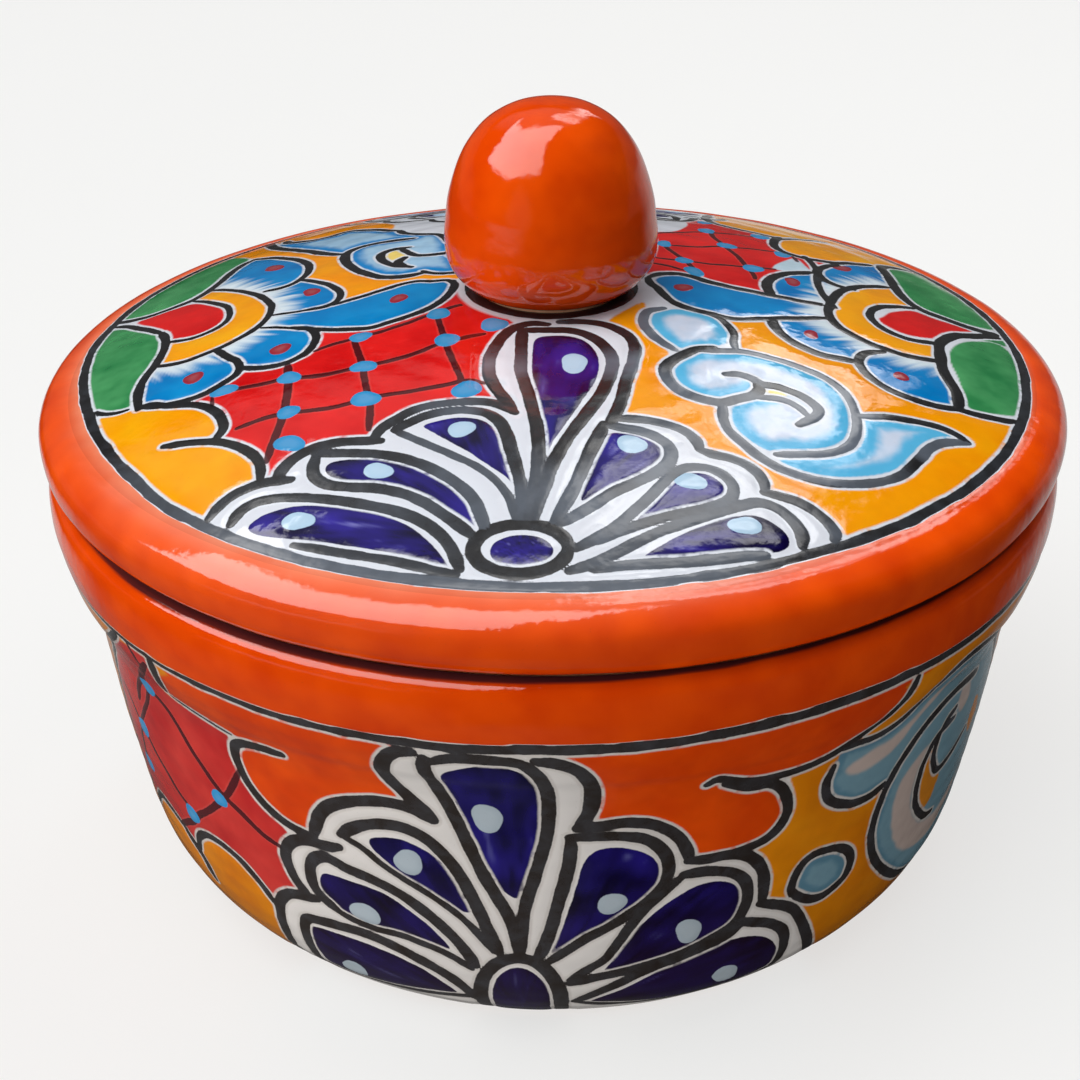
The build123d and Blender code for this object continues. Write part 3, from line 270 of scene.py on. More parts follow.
BOWL_FILL=[
('o2',"-150,99 -86,98.6 -88,93 -88.6,86.4 -80,85.4 -70,84 -63,83.6 -58,84 -54,84.4 -46,84.2 -38,82.6 -34,84.4 -34.8,88.3 -33.6,93.4 -31.6,97 -33,98.8"),
('o2',"-57.5,84.4 -62,83 -66.8,81.8 -69.2,79.6 -69.8,76.2 -68.4,71.4 -65.6,67.4 -61.4,64.2 -57.2,62.4 -53.2,62.2 -52.2,66 -50.6,70.4 -47.6,73.6 -43.4,76 -38.6,78 -33.6,79.2 -31.4,79.6 -33.4,84 -40,85.4"),
('o2',"2,98.6 6.4,95 8.6,90 9.2,84 8.8,78 9.4,76.4 15,76.6 20,75.6 24.4,73 27.4,69.4 29.2,65.4 30.4,62.6 34,62.4 38,62 42,62.6 46,64.4 48.4,67.4 48.8,71 47.4,75 44.4,77.8 40,78.8 36,80.6 38,81.4 44,80.2 51,80 57,80.8 62,82.4 66.4,84.6 71,87.8 73.6,91.4 75,96 75,100.4"),
('y2',"75.4,99.4 74.6,95 72,90.6 66,85.4 60,82.8 52,81.6 49.4,79.6 50.8,74.6 51.4,69 49.6,64.6 45,61.6 43,60.2 46.6,56 48.4,50 48.8,43.2 52,40.8 56,37.6 59.4,33.6 62.4,28 65.6,20.6 69,13 73,6 95,4 116,8 133,18 144,34 148,52 146,68 140,82 132,92 122,99"),
('y2',"-94,24 -95.4,29 -96.8,33 -95,37 -91,40 -85.3,41 -79.4,39.8 -75.4,37 -72.6,34 -70.6,31 -70.4,20 -72,8 -84,6 -98,8"),
('y2',"-96,24 -97.4,28 -99.6,31.4 -103.6,34 -110,35.4 -118,34 -125,28 -128,18 -124,8 -108,6 -98,12"),
('rl',"-96,97.6 -88.8,97.4 -89.4,92 -91,86.6 -88.6,85.2 -80,84.2 -71.6,82.6 -71.8,76.2 -70.4,70.6 -67.2,65.4 -62.6,61.8 -59.6,58.4 -62.6,54.6 -63.4,49.3 -62,43.6 -59.2,40.4 -64,38.8 -67.8,35 -69.4,31.2 -72.6,35.2 -75.4,38.4 -79.6,41.6 -85.3,42.8 -91.6,41.6 -96.4,37.6 -98.4,33.4 -104,36 -111,37.6 -119,36.4 -126,30 -131,38 -132,52 -130,66 -124,78 -115,88 -104,95"),
('k',"-20.8,91 -17.8,93.2 -13.3,95 -9.5,95.1 -5.8,93.1 -3.6,89 -2.7,83 -2.8,76.3 -3.5,68.8 -4.7,61.3 -5.9,56 -7.4,53.4 -9.2,54 -11.5,56.8 -14,62.8 -16.4,69.5 -18.2,77 -20,83 -21.2,87.5"),
('k',"-38.9,65 -36.5,66.6 -32,67.3 -28.3,66.2 -24.5,63.6 -21.4,59 -19.2,54.5 -17.8,49.4 -18.2,47.6 -20.9,48.2 -25.4,50.9 -29.8,53.9 -34.3,58.4 -38,62"),
('k',"-53.4,46.8 -52,50 -49.4,50.6 -45.5,50.4 -39.5,49.7 -35,47.8 -30.5,44.1 -26.8,40.4 -23.3,35 -24.8,34.8 -29.5,36.4 -35.5,37.6 -41,37.4 -45.8,38.2 -50,40.6 -53,43"),
('k',"-58.4,29.4 -50,30.3 -44,30 -37.3,28.6 -31.3,26 -26.8,22.4 -23.8,18.6 -23.4,16.8 -28,16.6 -34,15.4 -42,13.6 -50,12.4 -57.4,13.6 -59.4,20 -59.6,26"),
('k',"9.6,68 7,66 5.6,62 4.5,56 3,49.3 1.5,42.5 -.5,35.9 .6,34.6 4.3,37.3 10,42 13.9,45.5 18.4,50.7 21.4,55.3 22,60.5 20.2,64.4 16.8,66.9 13,68.1"),
('k',"32.5,53.5 36.3,53 39.7,50.8 41.8,46.3 41.4,41 39.1,37.4 34.6,35.1 28,32.8 21.3,30.6 15.3,28.7 11.4,28.4 13,32 16,38 19,43.3 23.5,48.5 28.8,52.4"),
('k',"39,32 45.3,31.7 50.5,29.1 53.9,24.6 55,20 54.6,14.6 50,11.8 42,10.4 30,10.4 21,11.6 13,13.8 8.6,15.4 15.3,20.2 23.5,26 32.5,30.2"),
('k',"-14.5,-6 -14.6,10 -14.5,19 -13.2,25.4 -10.7,29 -8,30.2 -5.1,29 -2.4,25.2 -1.1,20 -.9,10 -.8,-6"),
('lb',"55.9,45 57.4,49.4 60,51 64,50.6 67.4,49 69.8,46.4 71,43 70.2,39.6 68,37.8 64.8,36.8 61.4,37.8 58.4,40.2 56.6,42.4"),
('lb',"60.4,77.6 59.2,73.3 60.3,68.8 63.3,65.9 67,63.9 70,63.1 73.8,63 78.6,63.6 78.3,60.5 77.2,54.5 77.5,48.5 79.8,41.8 83.5,35.8 88.8,29.8 94.8,24.6 100.4,21.2 108,18.6 117,18.6 126,21.4 133,27.4 137,36 138,46 136.6,56 133,66 128,75 122,82.6 114,88.6 105,93 96,94.6 90,93.6 85.6,91 82.4,87.4 79,84 74.5,82.4 70,82 66,82.6 62,82.6"),
('pw',"84.2,62 83,56 84,49 87,42 91,36 96,32 102,29.4 108,28.4 116,29.6 122,34 124.6,41 118,37.6 111,35.6 105,36.6 99,40 94.6,45.4 91.4,51 90.6,57 91.6,63 94,67.4 88.4,66"),
('pw',"104.6,77.4 107.6,77.6 110.2,74.4 110.4,70.6 107.6,68.4 105,70.6 104,74"),
('oq',"118.4,66.4 121.8,63.4 123.4,58 120.8,54 117.8,57.4 117,62.6"),
('pw',"64.2,76 64.6,73.6 68,72.2 73.4,72.6 78.4,74.4 83,77.8 88,82.6 93,87.4 99,89.2 93.6,90.2 88,86.6 82.4,81.2 76.6,78.6 69.6,77.8"),
('oq',"97.4,65.6 95.4,64.8 94.2,61.6 93.8,56.8 94.6,51.4 96.8,46.8 100,43 102.4,44.6 103.2,48 103.8,51.6 101,55.2 98.6,59.4"),
]

# ---------------------------------------------------------------- helpers
MM = 0.001


def lin(*rgb):
    c = np.asarray(rgb, float) / 255.0
    return np.where(c <= 0.04045, c / 12.92, ((c + 0.055) / 1.055) ** 2.4)


def noise(P, size, seed, octaves=1):
    """Smooth value noise, -1 to 1, at points P (N, 3) with features of that size."""
    P = np.asarray(P, float)
    out, amp, total = 0.0, 1.0, 0.0
    for o in range(octaves):
        T = np.random.RandomState(seed + 31 * o).rand(32, 32, 32)
        Q = P / size + 5.37 * (o + 1)
        I = np.floor(Q).astype(int)
        F = Q - I
        F = F * F * (3 - 2 * F)
        v = 0.0
        for dx in (0, 1):
            wx = F[:, 0] if dx else 1 - F[:, 0]
            for dy in (0, 1):
                wy = wx * (F[:, 1] if dy else 1 - F[:, 1])
                for dz in (0, 1):
                    w = wy * (F[:, 2] if dz else 1 - F[:, 2])
                    v = v + w * T[(I[:, 0] + dx) % 32, (I[:, 1] + dy) % 32, (I[:, 2] + dz) % 32]
        out = out + amp * v
        total += amp
        amp *= 0.5
        size *= 0.5
    return out / total * 2 - 1


def noise2(x, y, size, seed, octaves=1):
    return noise(np.stack([x, y, np.zeros_like(x)], 1), size, seed, octaves)


def smooth(a, b, x):
    t = np.clip((x - a) / (b - a), 0, 1)
    return t * t * (3 - 2 * t)


def spline(P, n=6, closed=False):
    P = np.asarray(P, float)
    if len(P) < 3 and not closed:
        t = np.linspace(0, 1, n + 1)[:, None]
        return P[0] * (1 - t) + P[-1] * t
    if closed:
        Q = np.vstack([P[-1], P, P[:2]])
    else:
        Q = np.vstack([2 * P[0] - P[1], P, 2 * P[-1] - P[-2]])
    t = np.linspace(0, 1, n, endpoint=False)[:, None]
    out = []
    for i in range(1, len(Q) - 2):
        a, b, c, d = Q[i - 1], Q[i], Q[i + 1], Q[i + 2]
        out.append(0.5 * (2 * b + (c - a) * t + (2 * a - 5 * b + 4 * c - d) * t ** 2 + (3 * b - a - 3 * c + d) * t ** 3))
    if not closed:
        out.append(Q[-2][None])
    return np.vstack(out)


def parse(text):
    rows = [[float(v) for v in p.split(",")] for p in text.split()]
    return np.array([r[:2] for r in rows]), [r[2] if len(r) > 2 else None for r in rows]


class Curve:
    """A turned profile through points (r, z), walked by its length."""

    def __init__(self, pts):
        P = spline(pts, 40)
        s = np.r_[0, np.cumsum(np.hypot(*np.diff(P, axis=0).T))]
        self.P, self.s, self.length = P, s, s[-1]

    def at(self, s):
        return np.stack([np.interp(s, self.s, self.P[:, 0]), np.interp(s, self.s, self.P[:, 1])], -1)

    def where_r(self, r):
        return float(np.interp(r, self.P[:, 0], self.s))


# ---------------------------------------------------------------- painting
class Canvas:
    """Distances and colours of a painted surface, at points in its own millimetres."""

    def __init__(self, P, noise_at):
        n = len(P)
        self.P, self.Q = P, noise_at
        self.ink = np.full(n, 9.0)
        self.tone = np.full(n, 0.03)
        self.thin = np.full(n, 9.0)
        self.dots = np.full(n, 9.0)
        self.dotcol = np.tile(lin(60, 150, 210), (n, 1))
        self.cob = np.full(n, 9.0)
        self.blue = np.tile(lin(34, 14, 118), (n, 1))
        self.paint = np.tile(lin(224, 228, 238), (n, 1))
        self.pet = np.full(n, 60.0)

    def near(self, lo, hi, pad):
        P = self.P
        return np.nonzero((P[:, 0] > lo[0] - pad) & (P[:, 0] < hi[0] + pad) & (P[:, 1] > lo[1] - pad) & (P[:, 1] < hi[1] + pad))[0]

    def stroke(self, pts, width, thin_ink_and_sheen_list, into="ink", pad=4.0, rough=0.10, seed=1):
        C = spline(pts, 5)
        if len(C) < 2:
            return
        m = self.near(C.min(0), C.max(0), pad)
        if not len(m):
            return
        k = np.linspace(0, 1, len(C))
        kt = np.linspace(0, 1, len(thin_ink_and_sheen_list))
        T = np.interp(k, kt, thin_ink_and_sheen_list)
        along = np.r_[0, np.cumsum(np.hypot(*np.diff(C, axis=0).T))]
        wob = noise2(along + 17.0 * seed, np.zeros(len(C)) + seed, 5.0, 77, 2)
        ends = np.minimum(along, along[-1] - along)
        H = 0.5 * width * (1 + rough * 1.6 * wob) * (0.72 + 0.28 * np.clip(ends / 2.5, 0, 1))
        Q = self.P[m]
        best = np.full(len(m), 9.0)
        bt = np.zeros(len(m))
        for i in range(len(C) - 1):
            a, e = C[i], C[i + 1] - C[i]
            w = Q - a
            t = np.clip((w @ e) / (e @ e + 1e-12), 0, 1)
            d = np.hypot(w[:, 0] - t * e[0], w[:, 1] - t * e[1]) - (H[i] + (H[i + 1] - H[i]) * t)
            b = d < best
            best[b] = d[b]
            bt[b] = (T[i] + (T[i + 1] - T[i]) * t)[b]
        field = getattr(self, into)
        k = best < field[m]
        field[m[k]] = best[k]
        if into == "ink":
            self.tone[m[k]] = bt[k]

    def polygon(self, pts, pad=3.0, n=3):
        V = spline(pts, n, closed=True)
        m = self.near(V.min(0), V.max(0), pad)
        P = self.P[m]
        d = np.full(len(m), 1e9)
        inside = np.zeros(len(m), bool)
        for i in range(len(V)):
            a, b = V[i], V[(i + 1) % len(V)]
            e, w = b - a, P - a
            t = np.clip((w @ e) / (e @ e + 1e-12), 0, 1)
            d = np.minimum(d, (w[:, 0] - t * e[0]) ** 2 + (w[:, 1] - t * e[1]) ** 2)
            turn = e[0] * w[:, 1] - e[1] * w[:, 0]
            inside ^= ((a[1] <= P[:, 1]) & (b[1] > P[:, 1]) & (turn > 0)) | ((b[1] <= P[:, 1]) & (a[1] > P[:, 1]) & (turn < 0))
        return m, np.where(inside, -1, 1) * np.sqrt(d)

    def lay(self, m, cover, colour):
        c = cover[:, None]
        self.paint[m] = self.paint[m] * (1 - c) + colour * c

    def dot(self, x, y, rx, ry, tilt, kind):
        m = self.near((x - rx, y - ry), (x + rx, y + ry), 3.0)
        a = math.radians(tilt)
        dx, dy = self.P[m, 0] - x, self.P[m, 1] - y
        u, v = dx * math.cos(a) + dy * math.sin(a), -dx * math.sin(a) + dy * math.cos(a)
        q = np.hypot(u / rx, v / ry)
        ang = np.arctan2(v, u)
        wob = 1 + 0.07 * np.sin(2 * ang + x) + 0.05 * np.sin(3 * ang + y)
        d = (q - wob) * 0.5 * (rx + ry)
        k = d < self.dots[m]
        self.dots[m[k]] = d[k]
        self.dotcol[m[k]] = DOTS[kind]


DOTS = {"b": lin(52, 150, 208), "p": lin(182, 212, 236), "m": lin(158, 44, 58), "pg": lin(176, 188, 196)}
WHITE = lin(226, 230, 240)


def field(cv, colour, text, flow=(1.0, 0.0), plan=None):
    """Lays one field of colour, with the uneven depth of hand-laid glaze."""
    pts = parse(text)[0]
    if plan is not None:
        pts = plan(pts)
    m, d = cv.polygon(pts)
    if not len(m):
        return
    Q = cv.Q[m]
    depth = np.clip(-d, 0, 20)
    cover = 1 - smooth(-0.25, 0.25, d)
    cloud = noise(Q, 9.0, 5, 3)
    fine = noise(Q, 2.6, 9, 2)
    if colour == "k":
        far = d < cv.cob[m]
        cv.cob[m[far]] = d[far]
        return
    if colour == "w":
        cv.lay(m, cover, lin(200, 225, 240) * (1 - 0.06 * cloud[:, None]))
        return
    if colour in ("y", "o", "y2"):
        a, b = {"y": (lin(252, 156, 0), lin(255, 180, 12)), "o": (lin(252, 148, 0), lin(255, 168, 6)),
                "y2": (lin(222, 122, 0), lin(238, 144, 8))}[colour]
        k = np.clip(0.5 + 0.7 * cloud, 0, 1)[:, None]
        col = a * (1 - k) + b * k
        rim = np.exp(-depth / 1.1)[:, None]
        col = col * (1 - 0.25 * rim) + lin(240, 146, 0) * 0.25 * rim
        # painted shade: the bowl's yellow ground is darkened towards the foot
        if colour == "y2":
            col = col * (1 - 0.35 * smooth(46.0, 4.0, cv.P[m, 1]))[:, None]
    elif colour in ("r", "rl"):
        a, b = (lin(206, 12, 16), lin(238, 36, 34)) if colour == "r" else (lin(188, 34, 34), lin(214, 60, 52))
        k = np.clip(0.5 + 0.8 * cloud, 0, 1)[:, None]
        col = a * (1 - k) + b * k
    elif colour == "g":
        k = np.clip(0.45 + 0.6 * cloud + 0.25 * fine, 0, 1)[:, None]
        col = lin(34, 128, 70) * (1 - k) + lin(82, 166, 104) * k
    elif colour == "o2":
        k = np.clip(0.5 + 0.8 * cloud, 0, 1)[:, None]
        col = ORANGE_A * (1 - k) + ORANGE_B * k
    elif colour == "s":
        # petals: white at the root by the yellow ring, drawn out into sky blue
        root = cv.pet[m]
        ang = np.arctan2(cv.P[m, 1] - cv.heart(m)[:, 1], cv.P[m, 0] - cv.heart(m)[:, 0])
        comb = noise2(ang * 64.0, root * 0.16, 1.5, 23, 2)
        k = smooth(1.5, 9.5, root + 4.4 * comb)[:, None]
        deep = np.clip(0.45 + 0.7 * cloud, 0, 1)[:, None]
        sky = lin(0, 118, 192) * (1 - deep) + lin(20, 152, 218) * deep
        col = lin(226, 240, 248) * (1 - k) + sky * k
    elif colour in ("l", "l2", "lb"):
        edge = {"l": lin(92, 188, 234), "l2": lin(20, 134, 206), "lb": lin(96, 138, 158)}[colour]
        mid = {"l": lin(222, 228, 246), "l2": lin(176, 214, 240), "lb": lin(128, 164, 178)}[colour]
        wide = {"l": 4.6, "l2": 4.8, "lb": 3.4}[colour]
        brush = noise2(Q[:, 0] * 1.0 + 3.0 * cloud, Q[:, 1] * 0.45 + Q[:, 2], 1.5, 29, 2)
        k = (smooth(2.0, wide + 0.3, depth + 0.55 * brush + 0.25 * fine) * (0.86 + 0.12 * brush + 0.08 * cloud))[:, None]
        col = edge * (1 - k) + mid * k
    elif colour == "pw":
        col = np.tile(lin(206, 186, 176), (len(m), 1)) * (1 + 0.05 * cloud[:, None])
        cover = 1 - smooth(-0.9, 0.5, d + 0.4 * fine)
    elif colour in ("q", "oq"):
        col = np.tile(lin(250, 222, 120) if colour == "q" else lin(224, 138, 30), (len(m), 1))
    cv.lay(m, cover, np.clip(col * (1 + 0.05 * fine[:, None]), 0, 1))


ORANGE_A, ORANGE_B = lin(214, 60, 0), lin(238, 80, 2)
# light peach of the orange by the painted ring: thin glaze, and a painted highlight
PALE_AND_HIGHLIGHT = lin(254, 160, 124)


def edge_thin_and_highlight(Q, gone):
    """How far the orange next to the painted ring is lightened: the glaze runs thin there, and a painted highlight is
    laid over it, strongest towards the front left.
    """
    theta = np.degrees(np.arctan2(Q[:, 0], -Q[:, 1]))
    reach = np.interp(theta, [-180, -120, -100, -75, -45, 10, 26, 40, 180], [0.8, 1.2, 1.7, 2.2, 4.2, 3.2, 1.6, 0.6, 0.6])
    power = np.interp(theta, [-180, -120, -75, -45, 10, 26, 40, 180], [0.5, 0.7, 0.85, 0.8, 0.7, 0.5, 0.35, 0.35])
    return np.clip(power * np.exp(-np.maximum(gone, 0) / reach) * (0.85 + 0.35 * noise(Q, 7.0, 64, 2)), 0, 1)


def cobalt(cv, m, centre, seed):
    """Colour of the cobalt petals: deep, with darker and paler brush streaks running out from the hub; the palest
    lavender streaks are partly a painted highlight.
    """
    dx, dy = cv.P[m, 0] - centre[0], cv.P[m, 1] - centre[1]
    ang, far = np.arctan2(dy, dx), np.hypot(dx, dy)
    comb = noise2(ang * 42.0 + seed, far * 0.16, 1.5, 41, 2)
    cloud = noise(cv.Q[m], 7.0, 47, 2)
    edge = np.exp(np.minimum(cv.cob[m], 0) / 1.3)
    k = np.clip(0.42 + 0.5 * cloud + 0.35 * comb - 0.25 * edge, 0, 1)[:, None]
    col = lin(14, 6, 62) * (1 - k) + lin(48, 34, 150) * k
    k = k * (1 - 0.55 * smooth(0.1, 0.75, -comb)[:, None])
    col = lin(9, 3, 48) * (1 - k) + lin(50, 36, 160) * k
    # lavender streaks: partly brush streaks, partly a painted highlight on the glaze relief
    pale_and_highlight = (smooth(0.34, 0.72, comb) * smooth(-0.3, 0.3, cloud) * smooth(-0.8, -2.2, cv.cob[m]) * 0.75)[:, None]
    col = col * (1 - pale_and_highlight) + lin(132, 132, 200) * pale_and_highlight
    cv.blue[m] = col


RING_R = [(-180, 115.7), (-172, 114.4), (-167, 113.6), (-160, 113.3), (-142, 113.3), (-135, 114.3), (-120, 114.6),
          (-105, 114.4), (-60, 114.4), (-45, 114.8), (-30, 115.3), (-20, 115.1), (-10, 115.3), (0, 115.7), (30, 115.6),
          (90, 115.5), (150, 115.8), (163, 116.0), (170, 115.8), (180, 115.7)]


def back_fan(pts):
    """The far fan: the front one turned about, squeezed to the room it has."""
    x = np.where(pts[:, 0] < 0, -0.72, -1.1) * pts[:, 0]
    return np.stack([x, -pts[:, 1]], 1)


def paint_lid(P, Q):
    cv = Canvas(P, Q)
    hearts = np.array([[-113.5, 6.0], [113.5, 1.0]])
    cv.heart = lambda m: hearts[(cv.P[m, 0] > 0).astype(int)]
    # distance from the yellow half ring of each half flower, where petals are rooted
    rings = [t for c, t in LID_FILL if c == "y" and (t.startswith("-94,-9.6") or t.startswith("68,.2"))]
    for t in rings:
        m, d = cv.polygon(parse(t)[0], pad=60.0)
        cv.pet[m] = np.minimum(cv.pet[m], np.maximum(d, 0))
    fan = [(c, t) for c, t in LID_FILL if c == "k"]
    for c, t in LID_FILL:
        x = parse(t)[0]
        if c == "s" and x[0][1] > 45 and x[0][0] < -30:
            c = "l2"
        field(cv, c, t)
    for c, t in fan:
        field(cv, c, t, plan=back_fan)
    cx, cy, ax, ay, w = LID_HUB
    a = np.linspace(0, 2 * math.pi, 25)[:-1]
    for mirror in (False, True):
        hub = np.stack([cx + 0.2 + 6.2 * np.cos(a), cy - 0.7 + 4.1 * np.sin(a)], 1)
        ring = np.stack([cx + ax * np.cos(a), cy + ay * np.sin(a)], 1)
        ring = np.vstack([ring, ring[:1]])
        if mirror:
            hub, ring = back_fan(hub), back_fan(ring)
        m, d = cv.polygon(hub)
        far = d < cv.cob[m]
        cv.cob[m[far]] = d[far]
        m, d = cv.polygon(ring[:-1])
        cv.lay(m, 1 - smooth(-0.2, 0.2, d), np.tile(WHITE, (len(m), 1)))
        cv.stroke(ring, w, [0.05] * 8, rough=0.06, seed=3)
    front = np.nonzero(P[:, 1] < 0)[0]
    cobalt(cv, front, (cx, cy), 0.0)
    rear = np.nonzero(P[:, 1] >= 0)[0]
    cobalt(cv, rear, (4.4, -cy), 3.0)
    for i, (w, tone, text) in enumerate(LID_INK):
        pts, thin_ink_and_sheen_list = parse(text)
        thin_ink_and_sheen_list = np.array([tone if t is None else t for t in thin_ink_and_sheen_list])
        cv.stroke(pts, 1.08 * w, 0.75 * thin_ink_and_sheen_list, seed=i + 1)
        # the far fan repeats the near one
        if i < 23:
            far = back_fan(pts)
            cv.stroke(far, w * 0.9, [0.05] * len(pts), seed=i + 60)
    for i, (w, text) in enumerate(LID_LINE):
        cv.stroke(parse(text)[0], 1.15 * w, [0.0, 0.0], into="thin", seed=i + 120)
    for d in LID_DOT:
        cv.dot(*d)
        if d[5] == "p":
            x, y = back_fan(np.array([[d[0], d[1]]]))[0]
            cv.dot(x, y, d[2] * 0.9, d[3], 0, "p")
    # the painted ring at the edge, and the one round the knob's foot
    r = np.hypot(P[:, 0], P[:, 1])
    az = np.degrees(np.arctan2(P[:, 1], P[:, 0]))
    line = np.interp(az, *np.array(RING_R).T)
    wob = noise(Q, 11.0, 61, 2)
    ring = one_side(r - line - 0.25 * wob, 1.3 + 0.16 * noise(Q, 4.0, 62) + 0.22 * noise(Q, 9.0, 67, 3))
    k = ring < cv.ink
    cv.ink[k] = ring[k]
    # painted reflection: the edge ring's ink is laid in light slate at the front and front left, where the light
    # reflects on it
    ring_front_sheen = np.interp(az, [-150, -142, -128, -120, -75, -66], [0.05, 0.25, 0.35, 0.5, 0.5, 0.08])
    cv.tone[k] = ring_front_sheen[k]
    outside = smooth(0.9, 1.2, r - line)
    deep = np.clip(0.5 + 0.8 * noise(Q, 9.0, 5, 3), 0, 1)[:, None]
    orange = ORANGE_A * (1 - deep) + ORANGE_B * deep
    # the orange just outside the ring is lightened: thin glaze and a painted highlight
    thin = edge_thin_and_highlight(Q, r - line - 1.3)[:, None]
    orange = orange * (1 - thin) + PALE_AND_HIGHLIGHT * thin
    cv.paint = cv.paint * (1 - outside[:, None]) + orange * outside[:, None]
    inside = r > line
    cv.cob[inside] = 9.0
    foot = np.abs(r - 18.9 - 0.3 * wob) - 2.3
    k = (foot < cv.ink) | (r < 21)
    cv.ink[k] = foot[k]
    cv.tone[k] = 0.05
    for name in ("thin", "dots", "cob"):
        a = getattr(cv, name)
        a[r < 24] = 9.0
    near_foot = 1 - smooth(22.6, 23.6, r + 0.5 * wob)
    cv.paint = cv.paint * (1 - near_foot[:, None]) + WHITE * near_foot[:, None]
    return cv


def one_side(d, half):
    """Distance from a painted ring whose outer side has no bare white edge."""
    return np.where(d > 0, np.where(d > half, (d - half) * 6.0, d - half), -d - half)


LINE_HALF = lambda u: np.interp(u, [-110, -60, -20, 60, 100], [0.75, 0.9, 1.4, 1.5, 1.1])
PERIOD = 355.0


def flower_to_bowl(pts):
    d, s = pts[:, 0] + 113.5, pts[:, 1] - 8.0
    return np.stack([176.0 + 0.74 * s, 97.0 - 0.95 * d], 1)


def paint_bowl(P, Q):
    """P is (u, t): the way round from the front at a radius of 113 mm, and up the wall."""
    u = (P[:, 0] + 133.0) % PERIOD - 133.0
    cv = Canvas(np.stack([u, P[:, 1]], 1), Q)
    t = P[:, 1]
    cv.heart = lambda m: np.tile(flower_to_bowl(np.array([[-113.5, 6.0]])), (len(m), 1))
    cloud = noise(Q, 9.0, 5, 3)
    k = np.clip(0.5 + 0.7 * cloud, 0, 1)[:, None]
    ground = lin(222, 122, 0) * (1 - k) + lin(238, 144, 8) * k
    # painted shade: the bowl's yellow ground is darkened towards the foot
    ground = ground * (1 - 0.35 * smooth(46.0, 4.0, t))[:, None]
    fan = ((u > -71.5) & (u < 74.5))[:, None]
    cv.paint = np.where(fan, lin(230, 224, 219), ground)
    half = [(c, s) for c, s in LID_FILL if parse(s)[0][:, 0].max() < -22 and c in "yrgs" and
            (c != "y" or s.startswith("-94,-9.6")) and (c != "r" or s.startswith("-94.6")) and
            not (c == "s" and (s.startswith("-78.4,72") or s.startswith("-38,47")))]
    ring = [s for c, s in half if c == "y"][0]
    m, d = cv.polygon(flower_to_bowl(parse(ring)[0]), pad=60.0)
    cv.pet[m] = np.maximum(d, 0)
    first = [c for c, s in BOWL_FILL].index("rl")
    for c, s in BOWL_FILL[:first]:
        field(cv, c, s)
    for c, s in half:
        field(cv, c, s, plan=flower_to_bowl)
    for c, s in BOWL_FILL[first:]:
        field(cv, c, s)
    near = np.nonzero((u > -80) & (u < 80))[0]
    cobalt(cv, near, (-8.0, 8.0), 5.0)
    # the bowl's cobalt is dimmed to 0.68 and, as painted shade, turned deep purple-brown towards the foot
    low = smooth(72.0, 14.0, t + 9.0 * noise(Q, 14.0, 83, 2))[:, None]
    cv.blue = cv.blue * 0.68 * (1 - 0.7 * low) + lin(38, 22, 34) * 0.7 * low
    for i, (w, tone, text) in enumerate(LID_INK):
        pts, thin_ink_and_sheen_list = parse(text)
        if 25 <= i < 37 and pts[:, 0].max() < -22:
            cv.stroke(flower_to_bowl(pts), w, [0.08] * len(pts), seed=i + 1)
    a = np.radians(np.linspace(143.5, 200.5, 24))
    cv.stroke(flower_to_bowl(114.4 * np.stack([np.cos(a), np.sin(a)], 1)), 2.4, [0.08] * 24, seed=190)
    for i, (w, tone, text) in enumerate(BOWL_INK):
        pts, thin_ink_and_sheen_list = parse(text)
        cv.stroke(pts, w, [tone if x is None else x for x in thin_ink_and_sheen_list], seed=i + 200)
    for i, (w, text) in enumerate(BOWL_LINE):
        cv.stroke(parse(text)[0], w, [0.0, 0.0], into="thin", seed=i + 260)
    for d in BOWL_DOT:
        cv.dot(*d[:5], "pg" if d[5] == "p" else d[5])
    for d in LID_DOT:
        if d[5] == "m" and d[0] < 0:
            x, y = flower_to_bowl(np.array([[d[0], d[1]]]))[0]
            cv.dot(x, y, d[2], d[3], 0, "m")
    # the painted line under the collar
    line = np.interp(u, [-90, -50, -20, 10, 40, 70, 110, 178, 222], [99.3, 99.5, 100, 100.5, 101.3, 101.8, 102, 101, 99.3])
    wob = noise(Q, 13.0, 71, 2)
    e = one_side(t - line - 0.3 * wob, LINE_HALF(u) + 0.2 * noise(Q, 4.5, 72))
    k = e < cv.ink
    cv.ink[k] = e[k]
    cv.tone[k] = 0.1
    above = smooth(0.6, 1.0, t - line)
    k = np.clip(0.5 + 0.8 * cloud, 0, 1)[:, None]
    orange = ORANGE_A * (1 - k) + ORANGE_B * k
    cv.paint = cv.paint * (1 - above[:, None]) + orange * above[:, None]
    cv.above = above
    for name in ("thin", "dots", "cob"):
        getattr(cv, name)[t > line] = 9.0
    return cv


# ---------------------------------------------------------------- surfaces
def glaze_wave(P):
    """Unevenness of a hand-thrown, hand-dipped surface, in mm, 0 to about 0.3."""
    ring = 0.035 * np.sin(np.hypot(P[:, 0], P[:, 1]) * 0.9 + P[:, 2] * 0.9 + 2.0 * noise(P, 60.0, 3))
    return 0.16 + 0.11 * noise(P, 38.0, 11) + 0.075 * noise(P, 13.0, 12) + ring


